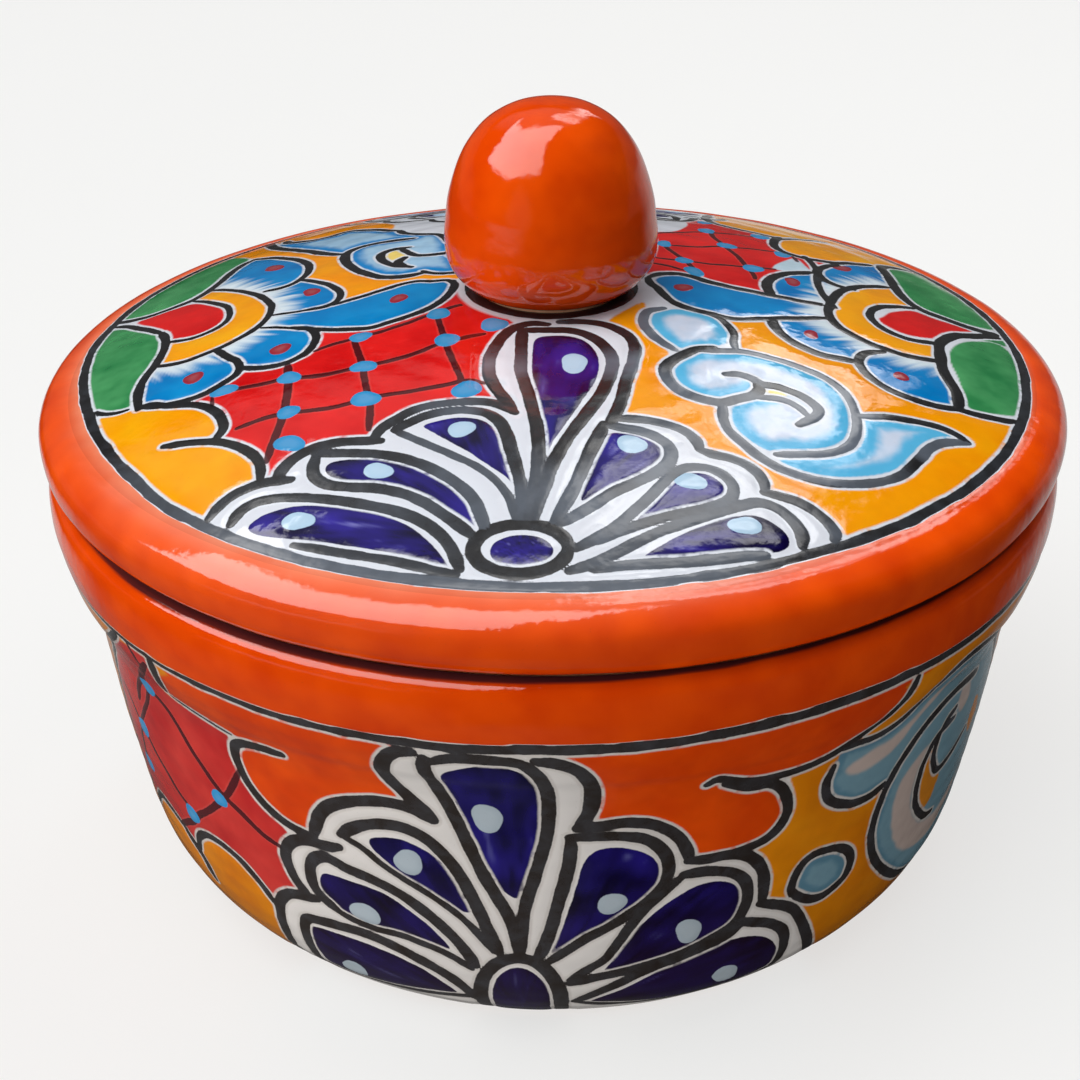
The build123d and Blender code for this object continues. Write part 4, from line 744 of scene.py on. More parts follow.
def turned(profile, columns):
    """Base points and outward normals of a turned profile, (rows, columns + 1, 3)."""
    a = np.linspace(-math.pi, math.pi, columns + 1)
    g = np.gradient(profile, axis=0)
    g /= np.maximum(np.linalg.norm(g, axis=1)[:, None], 1e-9)
    nr, nz = -g[:, 1], g[:, 0]
    c, s = np.cos(a)[None], np.sin(a)[None]
    r, z = profile[:, :1], profile[:, 1:]
    P = np.stack([r * c, r * s, z + 0 * c], -1)
    N = np.stack([nr[:, None] * c, nr[:, None] * s, nz[:, None] + 0 * c], -1)
    return P, N


def grid_normals(O):
    """Normals of a closed-round grid; its first and last columns are the same points."""
    dth = np.empty_like(O)
    dth[:, 1:-1] = O[:, 2:] - O[:, :-2]
    dth[:, 0] = dth[:, -1] = O[:, 1] - O[:, -2]
    ds = np.gradient(O, axis=0)
    N = np.cross(ds, dth)
    L = np.linalg.norm(N, axis=-1, keepdims=True)
    flat = L[..., 0] < 1e-12
    N = N / np.maximum(L, 1e-12)
    for i in np.nonzero(flat.all(1))[0]:
        N[i] = np.array([0, 0, 1.0 if N[min(i + 1, len(N) - 1), :, 2].mean() > 0 or i == 0 else -1.0])
    return N


def coat(name, body, node, O, I, NO, c0, c1, uv_out, uv_in, attrs, material, step=1, pole=False):
    """A closed thin coat: outer grid O, inner grid I, columns c0 to c1. The inner side is coarser by step."""
    rows, W = O.shape[0], c1 - c0 + 1
    wrap = c1 - c0 == O.shape[1] - 1
    cols = W - 1 if wrap else W
    out_id = np.arange(rows * cols).reshape(rows, cols)
    use = np.zeros((rows, cols), bool)
    use[::step, ::step] = True
    use[0], use[-1] = True, True
    if not wrap:
        use[:, 0], use[:, -1] = True, True
    if step == 1:
        use[:] = True
    if pole:
        out_id[0] = 0
        out_id[1:] = 1 + np.arange((rows - 1) * cols).reshape(rows - 1, cols)
    n_out = out_id.max() + 1
    in_id = np.full((rows, cols), -1)
    if pole:
        in_id[0] = n_out
        in_id[1:][use[1:]] = n_out + 1 + np.arange(use[1:].sum())
    else:
        in_id[use] = n_out + np.arange(use.sum())
    n_all = in_id.max() + 1
    co = np.zeros((n_all, 3))
    sl = slice(c0, c0 + cols)
    co[out_id.ravel()] = O[:, sl].reshape(-1, 3)
    keep = in_id >= 0
    co[in_id[keep]] = I[:, sl][keep]
    j1 = lambda j: (j + 1) % cols if wrap else j + 1
    faces, uvs, norms = [], [], []
    J = np.arange(W - 1)
    R = np.arange(rows - 1)
    ii, jj = np.meshgrid(R[1:] if pole else R, J, indexing="ij")
    ii, jj = ii.ravel(), jj.ravel()
    jn = (jj + 1) % cols
    quads = np.stack([out_id[ii, jj], out_id[ii + 1, jj], out_id[ii + 1, jn], out_id[ii, jn]], 1)
    corner = [(ii, jj, jj), (ii + 1, jj, jj), (ii + 1, jj, jj + 1), (ii, jj, jj + 1)]
    q_uv = np.stack([uv_out(i, f + c0, c + c0) for i, f, c in corner], 1)
    q_n = np.stack([NO[i, c + c0] for i, f, c in corner], 1)
    loops = [quads.ravel()]
    luv = [q_uv.reshape(-1, 2)]
    lno = [q_n.reshape(-1, 3)]
    sizes = [np.full(len(quads), 4)]

    def add(vids, uv, no):
        loops.append(np.array(vids))
        luv.append(np.array(uv, float))
        lno.append(np.array(no, float))
        sizes.append(np.array([len(vids)]))

    if pole:
        for j in range(W - 1):
            add([out_id[0, 0], out_id[1, j], out_id[1, j1(j)]],
                [uv_out(0, j + c0, j + c0 + 0.5), uv_out(1, j + c0, j + c0), uv_out(1, j + c0, j + c0 + 1)],
                [NO[0, 0], NO[1, j + c0], NO[1, j + c0 + 1]])
            a, b, c = in_id[0, 0], in_id[1, j1(j)], in_id[1, j]
            add([a, b, c], [uv_in(0, j + c0, j + c0 + 0.5), uv_in(1, j + c0, j + c0 + 1), uv_in(1, j + c0, j + c0)],
                [-NO[0, 0], -NO[1, j + c0 + 1], -NO[1, j + c0]])
    # inner side, coarse cells that share every boundary point
    r_cells = list(range(1 if pole else 0, rows - 1, step))
    c_cells = list(range(0, W - 1, step))
    if step == 1:
        iq = np.stack([in_id[ii, jj], in_id[ii, jn], in_id[ii + 1, jn], in_id[ii + 1, jj]], 1)
        cn = [(ii, jj, jj), (ii, jj, jj + 1), (ii + 1, jj, jj + 1), (ii + 1, jj, jj)]
        loops.append(iq.ravel())
        luv.append(np.stack([uv_in(i, f + c0, c + c0) for i, f, c in cn], 1).reshape(-1, 2))
        lno.append(np.stack([-NO[i, c + c0] for i, f, c in cn], 1).reshape(-1, 3))
        sizes.append(np.full(len(iq), 4))
    else:
        for a in r_cells:
            b = min(a + step, rows - 1)
            for l in c_cells:
                h = min(l + step, W - 1)
                path = []
                path += [(a, c) for c in (range(l, h) if a == 0 else [l])]
                path += [(r, h) for r in (range(a, b) if h == W - 1 else [a])]
                path += [(b, c) for c in (range(h, l, -1) if b == rows - 1 else [h])]
                path += [(r, l) for r in (range(b, a, -1) if l == 0 else [b])]
                add([in_id[r, c] for r, c in path], [uv_in(r, l + c0, c + c0) for r, c in path],
                    [-NO[r, c + c0] for r, c in path])
    # edges
    strip = []
    if not pole:
        strip += [((0, j), (0, j1(j)), j, j + 1, 0, 0) for j in range(W - 1)]
    strip += [((rows - 1, j1(j)), (rows - 1, j), j + 1, j, rows - 1, rows - 1) for j in range(W - 1)]
    if not wrap:
        strip += [((i + 1, 0), (i, 0), 0, 0, i + 1, i) for i in range(rows - 1)]
        strip += [((i, W - 1), (i + 1, W - 1), W - 1, W - 1, i, i + 1) for i in range(rows - 1)]
    x0, y0, x1, y1 = WALL_STRIP[0]
    for k, (p, q, *_rest) in enumerate(strip):
        v = [out_id[p], out_id[q], in_id[q], in_id[p]]
        a, b = co[v[1]] - co[v[0]], co[v[3]] - co[v[0]]
        n = np.cross(a, b)
        n = n / max(np.linalg.norm(n), 1e-12)
        s0, s1 = x0 + (x1 - x0) * k / len(strip), x0 + (x1 - x0) * (k + 1) / len(strip)
        add(v, [(s0, y1), (s1, y1), (s1, y0), (s0, y0)], [n] * 4)
    loops = np.concatenate(loops).astype(np.int32)
    sizes = np.concatenate(sizes).astype(np.int32)
    luv, lno = np.concatenate(luv), np.concatenate(lno)
    mesh = bpy.data.meshes.new(name)
    mesh.vertices.add(n_all)
    mesh.vertices.foreach_set("co", (co * MM).astype(np.float32).ravel())
    mesh.loops.add(len(loops))
    mesh.loops.foreach_set("vertex_index", loops)
    mesh.polygons.add(len(sizes))
    mesh.polygons.foreach_set("loop_start", np.r_[0, np.cumsum(sizes)[:-1]].astype(np.int32))
    mesh.polygons.foreach_set("use_smooth", np.ones(len(sizes), bool))
    mesh.update(calc_edges=True)
    layer = mesh.uv_layers.new(name="OFBake")
    layer.uv.foreach_set("vector", luv.astype(np.float32).ravel())
    for key, values in attrs.items():
        v = np.asarray(values, float)
        full = np.zeros((n_all,) + v.shape[2:])
        full[:] = 9.0 if v.ndim == 2 else 1.0
        full[out_id.ravel()] = v[:, sl].reshape((-1,) + v.shape[2:])
        full[in_id[keep]] = v[:, sl][keep] if v.ndim == 3 or key == "tone" else 9.0
        if v.ndim == 2:
            at = mesh.attributes.new(key, "FLOAT", "POINT")
            at.data.foreach_set("value", full.astype(np.float32))
        else:
            at = mesh.attributes.new(key, "FLOAT_COLOR", "POINT")
            at.data.foreach_set("color", np.c_[full, np.ones(n_all)].astype(np.float32).ravel())
    mesh.validate(clean_customdata=False)
    mesh.normals_split_custom_set(lno.astype(np.float32))
    mesh.materials.append(material)
    ob = bpy.data.objects.new(name, mesh)
    bpy.context.scene.collection.objects.link(ob)
    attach(ob, body)
    if node:
        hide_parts(*([node] if isinstance(node, str) else node))
    return ob


WALL_STRIP = [(0.02, 0.002, 0.98, 0.008)]


def relief(ink, thin=None, dots=None, cob=None):
    """Height in mm that glaze fields, lines and dots stand above the bare halo."""
    h = 0.17 * (1 - np.exp(-np.maximum(ink, 0) / 1.7)) + 0.07 * (1 - smooth(-0.55, 0.2, ink))
    if thin is not None:
        h = h + 0.05 * (1 - smooth(-0.5, 0.3, thin)) * smooth(-0.2, 0.4, ink)
    if cob is not None:
        h = h + 0.10 * (1 - np.exp(np.minimum(cob, 0) / 0.9)) * smooth(-0.2, 0.3, ink)
    if dots is not None:
        h = h + 0.10 * np.sqrt(np.clip(-dots, 0, 1.4) / 1.4) * smooth(-0.2, 0.3, ink)
    return h


def strip_uv(rows, columns, s):
    v = s / s[-1]

    def uv_out(i, f, c):
        row = np.floor(np.asarray(f) * rows / columns)
        return np.stack([0.01 + 0.98 * (np.asarray(c) * rows / columns - row),
                         0.02 + (row + 0.03 + 0.78 * v[i]) * 0.97 / rows], -1)

    def uv_in(i, f, c):
        row = np.floor(np.asarray(f) * rows / columns)
        return np.stack([0.01 + 0.98 * (np.asarray(c) * rows / columns - row),
                         0.02 + (row + 0.86 + 0.10 * v[i]) * 0.97 / rows], -1)

    return uv_out, uv_in


def disc_uv(columns, s):
    v = s / s.max()

    def uv(scale, cx, cy):
        def f(i, f_, c):
            a = np.asarray(c) * 2 * math.pi / columns
            return np.stack([cx + scale * v[i] * np.cos(a), cy + scale * v[i] * np.sin(a)], -1)
        return f

    return uv(0.47, 0.5, 0.51), uv(0.055, 0.07, 0.08)


# profiles in mm, (radius, height), walked from the axis or the top outwards and down
RING_A = (116.2, 125.9)
dome_z = lambda r: 125.9 + 18.2 * (1 - (r / 116.2) ** 2.18)
LID = Curve([(r, dome_z(r)) for r in (9.0, 13.0, 17.6, 26, 36, 46, 56, 66, 76, 86, 95, 103, 110)] +
            [RING_A, (119.6, 125.1), (122.6, 123.7), (124.4, 121.6), (125.0, 118.8), (124.6, 115.7),
             (123.1, 113.0), (120.9, 111.4)])
BOWL = Curve([(120.9, 110.4), (123.6, 108.7), (124.6, 105.7), (124.7, 101.3), (124, 96), (122.9, 90.9),
              (121.2, 85.9), (119.3, 81.7), (117.6, 75.5), (116.6, 66.5), (114.9, 50.5), (112.7, 34.5),
              (110.9, 23), (109.5, 17.6), (107.5, 12.8), (105.3, 9.2), (102.8, 6), (100.6, 3.6), (97.4, 0.9)])
KNOB = Curve([(0, 189.5), (5, 189.2), (10.4, 187.6), (15.7, 184.3), (19.9, 179.1), (22.7, 173.1), (24.4, 167.1),
              (25.3, 161.1), (25.6, 156.1), (25.2, 152.7), (23.7, 149.7), (20.6, 146.4), (17.0, 144.4)])
LINER = Curve([(0, 9.5), (36, 9.5), (60, 9.5), (73, 9.5), (83, 10), (91, 11.6), (97.6, 15.6), (102, 22.6), (104.6, 34.5),
               (106.8, 50.5), (108.4, 66.5), (109.6, 80.5), (110.4, 94.5), (110.4, 107.1), (111.1, 109.9)])
under = lambda r: dome_z(r) - 7.0
UNDER = Curve([(102.4, 106.9), (102.4, 113.5), (102.0, 117.9), (99.4, 121.7)] +
              [(r, under(r)) for r in (94, 84, 70, 54, 38, 22, 6)])


def lifted(profile, columns, s, wave=1.0, extra=None, thick=0.44):
    """Outer and inner grids of a coat over a profile."""
    pr = profile.at(s)
    P, N = turned(pr, columns)
    h = wave * glaze_wave(P.reshape(-1, 3)).reshape(P.shape[:2])
    h[:, -1] = h[:, 0]
    if extra is not None:
        h = h + extra
    return P, N, P + N * h[..., None], P - N * thick


ring_line = lambda P: np.interp(np.degrees(np.arctan2(P[:, 1], P[:, 0])), *np.array(RING_R).T)


def orange(P, pale_and_highlight=None, gap_shade=None):
    """Plain orange glaze: lighter by the painted ring, where the glaze runs thin and a painted highlight is laid; deep
    purple-brown at the hidden edge where lid and bowl meet, as painted shade of the gap.
    """
    Q = P.reshape(-1, 3)
    k = np.clip(0.5 + 0.8 * noise(Q, 9.0, 5, 3), 0, 1)[:, None]
    col = ORANGE_A * (1 - k) + ORANGE_B * k
    if pale_and_highlight is not None:
        k = pale_and_highlight.ravel()[:, None]
        col = col * (1 - k) + PALE_AND_HIGHLIGHT * k
    if gap_shade is not None:
        k = gap_shade.ravel()[:, None]
        col = col * (1 - k) + lin(46, 26, 34) * k
    return col.reshape(P.shape)


def material(name):
    mat = bpy.data.materials.new(name)
    mat.use_nodes = True
    nt = mat.node_tree
    nt.nodes.clear()
    out = nt.nodes.new("ShaderNodeOutputMaterial")
    bsdf = nt.nodes.new("ShaderNodeBsdfPrincipled")
    nt.links.new(bsdf.outputs[0], out.inputs[0])
    return mat, nt, bsdf


def node(nt, kind, inputs=None, **props):
    n = nt.nodes.new("ShaderNode" + kind)
    for k, v in props.items():
        setattr(n, k, v)
    for k, v in (inputs or {}).items():
        s = n.inputs[k]
        if isinstance(v, bpy.types.NodeSocket):
            nt.links.new(v, s)
        else:
            s.default_value = v
    return n


def attr(nt, name, colour=False):
    n = node(nt, "Attribute", attribute_name=name)
    return n.outputs["Color" if colour else "Fac"]


def math_(nt, op, a, b=0.0, c=0.0, clamp=False):
    return node(nt, "Math", {0: a, 1: b, 2: c}, operation=op, use_clamp=clamp).outputs[0]


def ramp(nt, value, lo, hi, a=0.0, b=1.0, kind="SMOOTHSTEP"):
    return node(nt, "MapRange", {"Value": value, "From Min": lo, "From Max": hi, "To Min": a, "To Max": b},
                interpolation_type=kind).outputs[0]


def mix(nt, fac, a, b, blend="MIX"):
    n = node(nt, "Mix", data_type="RGBA", blend_type=blend)
    for i, v in ((0, fac), (6, a), (7, b)):
        if isinstance(v, bpy.types.NodeSocket):
            nt.links.new(v, n.inputs[i])
        else:
            n.inputs[i].default_value = v if i == 0 else (*v, 1.0)
    return n.outputs[2]


def noise_tex(nt, scale, detail=2.0, rough=0.5, distort=0.0):
    co = nt.nodes.get("place") or node(nt, "TexCoord")
    co.name = "place"
    return node(nt, "TexNoise", {"Vector": co.outputs["Object"], "Scale": scale, "Detail": detail,
                                 "Roughness": rough, "Distortion": distort}, noise_dimensions="3D").outputs["Fac"]


def glaze(name, depth, painted=False, base=None, halo=(0.76, 0.80, 0.88), ink=(16, 15, 17)):
    mat, nt, bsdf = material(name)
    wide, fine, grain = noise_tex(nt, 60, 2), noise_tex(nt, 420, 2), noise_tex(nt, 1500, 2)
    colour = attr(nt, "paint", True) if base is None else mix(nt, ramp(nt, wide, 0.35, 0.65), base[0], base[1])
    rough = ramp(nt, wide, 0.3, 0.7, 0.05, 0.09, "LINEAR")
    if painted:
        wob = math_(nt, "MULTIPLY_ADD", fine, 0.34, -0.17)
        wob = math_(nt, "MULTIPLY_ADD", grain, 0.12, math_(nt, "SUBTRACT", wob, 0.06))
        sd = lambda key: math_(nt, "ADD", attr(nt, key), wob)
        inkd = sd("ink")
        blue = ramp(nt, sd("cob"), 0.13, -0.13)
        colour = mix(nt, blue, colour, attr(nt, "blue", True))
        rim = ramp(nt, inkd, 0.95, 0.35)
        rim = math_(nt, "MULTIPLY", rim, ramp(nt, fine, 0.28, 0.5, 0.35, 1.0))
        colour = mix(nt, rim, colour, halo)
        thin = ramp(nt, sd("thin"), 0.12, -0.16)
        colour = mix(nt, math_(nt, "MULTIPLY", ramp(nt, sd("thin"), 0.55, 0.0), 0.25), colour, (0.75, 0.16, 0.14))
        colour = mix(nt, math_(nt, "MULTIPLY", thin, 0.94), colour, (0.055, 0.006, 0.010))
        dots = ramp(nt, sd("dots"), 0.12, -0.14)
        deep = mix(nt, ramp(nt, attr(nt, "dots"), -0.4, -2.2), attr(nt, "dotcol", True), (1.0, 1.0, 1.0), "MIX")
        dotcol = mix(nt, 0.05, attr(nt, "dotcol", True), deep)
        colour = mix(nt, dots, colour, dotcol)
        inked = ramp(nt, inkd, 0.10, -0.12)
        streak = noise_tex(nt, 190, 3, 0.6, 0.4)
        # ink mixed towards light slate by tone: thinly brushed ink, and partly a painted reflection
        tone = math_(nt, "MULTIPLY_ADD", attr(nt, "tone"), 0.62, ramp(nt, streak, 0.35, 0.75, -0.05, 0.03, "LINEAR"), clamp=True)
        black = mix(nt, tone, tuple(lin(*ink)), tuple(lin(150, 163, 182)))
        colour = mix(nt, math_(nt, "MULTIPLY", inked, 0.985), colour, black)
        rough = math_(nt, "MULTIPLY_ADD", inked, 0.10, rough)
    speck = ramp(nt, noise_tex(nt, 2600, 1), 0.72, 0.80)
    colour = mix(nt, math_(nt, "MULTIPLY", speck, 0.18), colour, (0.10, 0.05, 0.03))
    colour = mix(nt, 1.0, colour, (depth, depth, depth), "MULTIPLY")
    nt.links.new(colour, bsdf.inputs["Base Color"])
    nt.links.new(rough, bsdf.inputs["Roughness"])
    bsdf.inputs["IOR"].default_value = 1.68
    bsdf.inputs["Coat Weight"].default_value = 0.0
    ripple = math_(nt, "MULTIPLY_ADD", noise_tex(nt, 150, 2), 0.75, math_(nt, "MULTIPLY", fine, 0.16))
    bump = node(nt, "Bump", {"Strength": 0.55, "Distance": 0.0004, "Height": ripple})
    nt.links.new(bump.outputs[0], bsdf.inputs["Normal"])
    return mat


def bare(name, a, b, c):
    """Bare fired clay or slip: matt, mottled, with fine grit and pores."""
    mat, nt, bsdf = material(name)
    wide, fine, grit = noise_tex(nt, 45, 4), noise_tex(nt, 380, 4, 0.65), noise_tex(nt, 2200, 2)
    colour = mix(nt, ramp(nt, wide, 0.3, 0.7), tuple(lin(*a)), tuple(lin(*b)))
    colour = mix(nt, math_(nt, "MULTIPLY", ramp(nt, fine, 0.5, 0.72), 0.5), colour, tuple(lin(*c)))
    colour = mix(nt, math_(nt, "MULTIPLY", ramp(nt, grit, 0.66, 0.74), 0.5), colour, tuple(lin(96, 58, 40)))
    nt.links.new(colour, bsdf.inputs["Base Color"])
    nt.links.new(ramp(nt, fine, 0.3, 0.7, 0.72, 0.9, "LINEAR"), bsdf.inputs["Roughness"])
    h = math_(nt, "MULTIPLY_ADD", grit, 0.4, fine)
    bump = node(nt, "Bump", {"Strength": 0.6, "Distance": 0.0003, "Height": h})
    nt.links.new(bump.outputs[0], bsdf.inputs["Normal"])
    return mat


# painted shade: the lid's glaze colours are scaled to 0.86 against the bowl's 1.0, to offset the stronger light on the
# lid
lid_mat = glaze("lid_ornament", 0.86, True)
bowl_mat = glaze("bowl_ornament", 1.0, True, halo=(0.68, 0.63, 0.59), ink=(36, 27, 22))
orange_mat = glaze("orange_glaze", 1.0)
liner_mat = glaze("liner_glaze", 0.9, base=(tuple(lin(236, 235, 231)), tuple(lin(242, 241, 237))))
clay_mat = bare("clay", (190, 128, 92), (206, 148, 110), (224, 176, 140))
slip_mat = bare("slip", (184, 130, 98), (200, 150, 118), (222, 184, 152))

# lid: painted dome in four quarters, then its orange edge
COLS = 1224
start, seam = LID.where_r(17.6), LID.where_r(117.6)
ROWS = 201
step_s = (seam - start) / (ROWS - 1)
s = start + step_s * np.arange(ROWS + 1)
P, N = turned(LID.at(s), COLS)
flat = P.reshape(-1, 3)
cv = paint_lid(flat[:, :2], flat)
shape = P.shape[:2]
h = relief(cv.ink, cv.thin, cv.dots, cv.cob).reshape(shape) + glaze_wave(flat).reshape(shape)
h[:, -1] = h[:, 0]
O, I = P + N * h[..., None], P - N * 0.44
NO = grid_normals(O)[:-1]
O, I = O[:-1], I[:-1]
keys = {k: getattr(cv, k).reshape(shape)[:-1] for k in ("ink", "tone", "thin", "dots", "cob")}
keys.update({k: getattr(cv, k).reshape(shape + (3,))[:-1] for k in ("paint", "blue", "dotcol")})
rr = LID.at(s)[:, 0]
for q in range(4):
    c0 = q * COLS // 4

    def uv_out(i, f, c, c0=c0):
        a = (np.asarray(c) - c0) * 2 * math.pi / COLS
        return np.stack([0.02 + 0.95 * rr[i] / 118 * np.cos(a), 0.02 + 0.95 * rr[i] / 118 * np.sin(a)], -1)

    def uv_in(i, f, c, c0=c0):
        a = (np.asarray(c) - c0) * 2 * math.pi / COLS
        return np.stack([0.79 + 0.19 * rr[i] / 118 * np.cos(a), 0.79 + 0.19 * rr[i] / 118 * np.sin(a)], -1)

    ob = coat("lid_ornament_%d" % (q + 1), "lid", "lid_painted_glaze", O, I, NO, c0, c0 + COLS // 4,
              uv_out, uv_in, keys, lid_mat, step=6)

n = 44
step_s = (LID.length - seam) / n
s = seam + step_s * np.arange(-1, n + 1)
P, N = turned(LID.at(s), 612)
flat = P.reshape(-1, 3)
r_eff = (117.6 + (s - seam))[:, None] * np.ones(613)[None]
d = one_side(r_eff.ravel() - ring_line(flat) - 0.25 * noise(flat, 11.0, 61, 2), 1.3 + 0.16 * noise(flat, 4.0, 62) + 0.22 * noise(flat, 9.0, 67, 3))
h = (relief(d) + glaze_wave(flat)).reshape(P.shape[:2])
h[:, -1] = h[:, 0]
O, I = P + N * h[..., None], P - N * 0.44
NO = grid_normals(O)[1:]
uo, ui = strip_uv(4, 612, s[1:] - s[1])
# the lid's edge by the ring is lightened: thin glaze and a painted highlight
pale_and_highlight = edge_thin_and_highlight(flat, r_eff.ravel() - ring_line(flat) - 1.3).reshape(P.shape[:2])
# painted shade of the gap: the lowest 1 to 2 mm of the lid's edge, where it meets the bowl, is laid in deep
# purple-brown
end = LID.length - s[:, None] + 0.6 * noise(flat, 16.0, 65, 2).reshape(P.shape[:2])
ob = coat("lid_rim", "lid", "lid_rim_glaze", O[1:], I[1:], NO, 0, 612, uo, ui,
          {"paint": orange(P[1:], pale_and_highlight[1:], (0.9 * smooth(1.9, 0.9, end))[1:])}, orange_mat)

# bowl: painted wall in eight sectors, then its orange collar
COLS = 1296
t_of = lambda s: BOWL.length - s
TOP = BOWL.length - 104.0
ROWS = 190
end = BOWL.length - 0.8
step_s = (end - TOP) / (ROWS - 1)
s = TOP + step_s * np.arange(-1, ROWS)
base = BOWL.at(s)
a = np.linspace(-math.pi, math.pi, COLS + 1)
# the lower edge of the coat is wiped by hand, so it wanders
edge = np.stack([np.cos(a) * 100, np.sin(a) * 100, np.zeros_like(a)], 1)
low = 0.9 + 0.8 * noise(edge, 26.0, 91, 2)
low[-1] = low[0]
frac = np.clip((s - TOP) / (end - TOP), 0, 1)
S = s[:, None] - np.maximum(low, 0)[None] * smooth(0.9, 1.0, frac)[:, None]
pr = BOWL.at(S)
g = np.gradient(BOWL.P, axis=0)
g /= np.linalg.norm(g, axis=1)[:, None]
tr = np.stack([np.interp(S, BOWL.s, g[:, 0]), np.interp(S, BOWL.s, g[:, 1])], -1)
c, sn = np.cos(a)[None], np.sin(a)[None]
P = np.stack([pr[..., 0] * c, pr[..., 0] * sn, pr[..., 1]], -1)
N = np.stack([-tr[..., 1] * c, -tr[..., 1] * sn, tr[..., 0]], -1)
flat = P.reshape(-1, 3)
u = np.degrees(np.arctan2(np.sin(a + math.pi / 2), np.cos(a + math.pi / 2))) * math.pi / 180 * 113.0
uu = np.broadcast_to(u[None], S.shape).ravel()
cv = paint_bowl(np.stack([uu, (BOWL.length - S).ravel()], 1), flat)
shape = S.shape
h = relief(cv.ink, cv.thin, cv.dots, cv.cob).reshape(shape) + glaze_wave(flat).reshape(shape)
h[:, -1] = h[:, 0]
h = h * (0.35 + 0.65 * smooth(1.0, 0.985, frac))[:, None]
O, I = P + N * h[..., None], P - N * 0.44
NO = grid_normals(O)[1:]
O, I = O[1:], I[1:]
keys = {k: getattr(cv, k).reshape(shape)[1:] for k in ("ink", "tone", "thin", "dots", "cob")}
keys.update({k: getattr(cv, k).reshape(shape + (3,))[1:] for k in ("paint", "blue", "dotcol")})
v = np.linspace(0, 1, ROWS)
for q in range(8):
    c0 = q * COLS // 8

    def uv_out(i, f, c, c0=c0):
        return np.stack([0.02 + 0.96 * (np.asarray(c) - c0) * 8 / COLS, 0.10 + 0.88 * v[i]], -1)

    def uv_in(i, f, c, c0=c0):
        return np.stack([0.02 + 0.96 * (np.asarray(c) - c0) * 8 / COLS, 0.02 + 0.06 * v[i]], -1)

    ob = coat("bowl_ornament_%d" % (q + 1), "bowl", "bowl_painted_glaze", O, I, NO, c0, c0 + COLS // 8,
              uv_out, uv_in, keys, bowl_mat, step=6)

n = 34
step_s = TOP / n
s = step_s * np.arange(n + 2)
P, N = turned(BOWL.at(s), 648)
flat = P.reshape(-1, 3)
uu = np.degrees(np.arctan2(flat[:, 0], -flat[:, 1])) * math.pi / 180 * 113.0
uu = (uu + 133.0) % PERIOD - 133.0
line = np.interp(uu, [-90, -50, -20, 10, 40, 70, 110, 178, 222], [99.3, 99.5, 100, 100.5, 101.3, 101.8, 102, 101, 99.3])
t = np.repeat(BOWL.length - s, 649)
d = one_side(t - line - 0.3 * noise(flat, 13.0, 71, 2), LINE_HALF(uu) + 0.2 * noise(flat, 4.5, 72))
h = (relief(d) + glaze_wave(flat)).reshape(P.shape[:2])
h[:, -1] = h[:, 0]
O, I = P + N * h[..., None], P - N * 0.44
NO = grid_normals(O)[:-1]
uo, ui = strip_uv(4, 648, s[:-1] - s[0])
# painted shade of the gap under the lid: the collar's top edge is laid in deep purple-brown, widest at the front and
# front left
edge = np.interp(uu.reshape(P.shape[:2]), [-150, -120, -75, -30, 0, 40, 110, 160], [0.9, 1.6, 2.4, 2.3, 1.6, 1.2, 1.2, 0.9])
top = s[:, None] + 0.5 * noise(flat, 16.0, 66, 2).reshape(P.shape[:2]) - edge
gap_shade = 0.93 * smooth(0.35, -0.35, top)
ob = coat("bowl_collar", "bowl", "bowl_rim_glaze", O[:-1], I[:-1], NO, 0, 648, uo, ui,
          {"paint": orange(P[:-1], None, gap_shade[:-1])}, orange_mat)

# knob
s = np.linspace(0, KNOB.length, 110)
P, N, O, I = lifted(KNOB, 288, s)
O[0], I[0] = (0, 0, O[0, :, 2].mean()), (0, 0, I[0, 0, 2])
uo, ui = strip_uv(2, 288, s)
ob = coat("knob_ball", "lid", "knob_glaze", O, I, grid_normals(O), 0, 288, uo, ui, {"paint": orange(P)}, orange_mat, pole=True)

# white insides
s = np.linspace(0, LINER.length, 122)
P, N, O, I = lifted(LINER, 360, s)
O[0], I[0] = (0, 0, O[0, :, 2].mean()), (0, 0, I[0, 0, 2])
uo, ui = disc_uv(360, s)
ob = coat("bowl_liner", "bowl", "bowl_liner_glaze", O, I, grid_normals(O), 0, 360, uo, ui, {}, liner_mat, pole=True)
s = np.linspace(0, UNDER.length, 110)
P, N, O, I = lifted(UNDER, 360, s)
uo, ui = disc_uv(360, (s[-1] + 6) - s)
ob = coat("lid_liner", "lid", "lid_liner_glaze", O, I, grid_normals(O), 0, 360, uo, ui, {}, liner_mat)

for name, mat in (("bowl_body", clay_mat), ("lid_body", clay_mat), ("knob_body", clay_mat), ("knob_slip_ring", slip_mat)):
    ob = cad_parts[name]
    if not ob.material_slots:
        ob.data.materials.append(mat)
    for slot in ob.material_slots:
        slot.material = mat

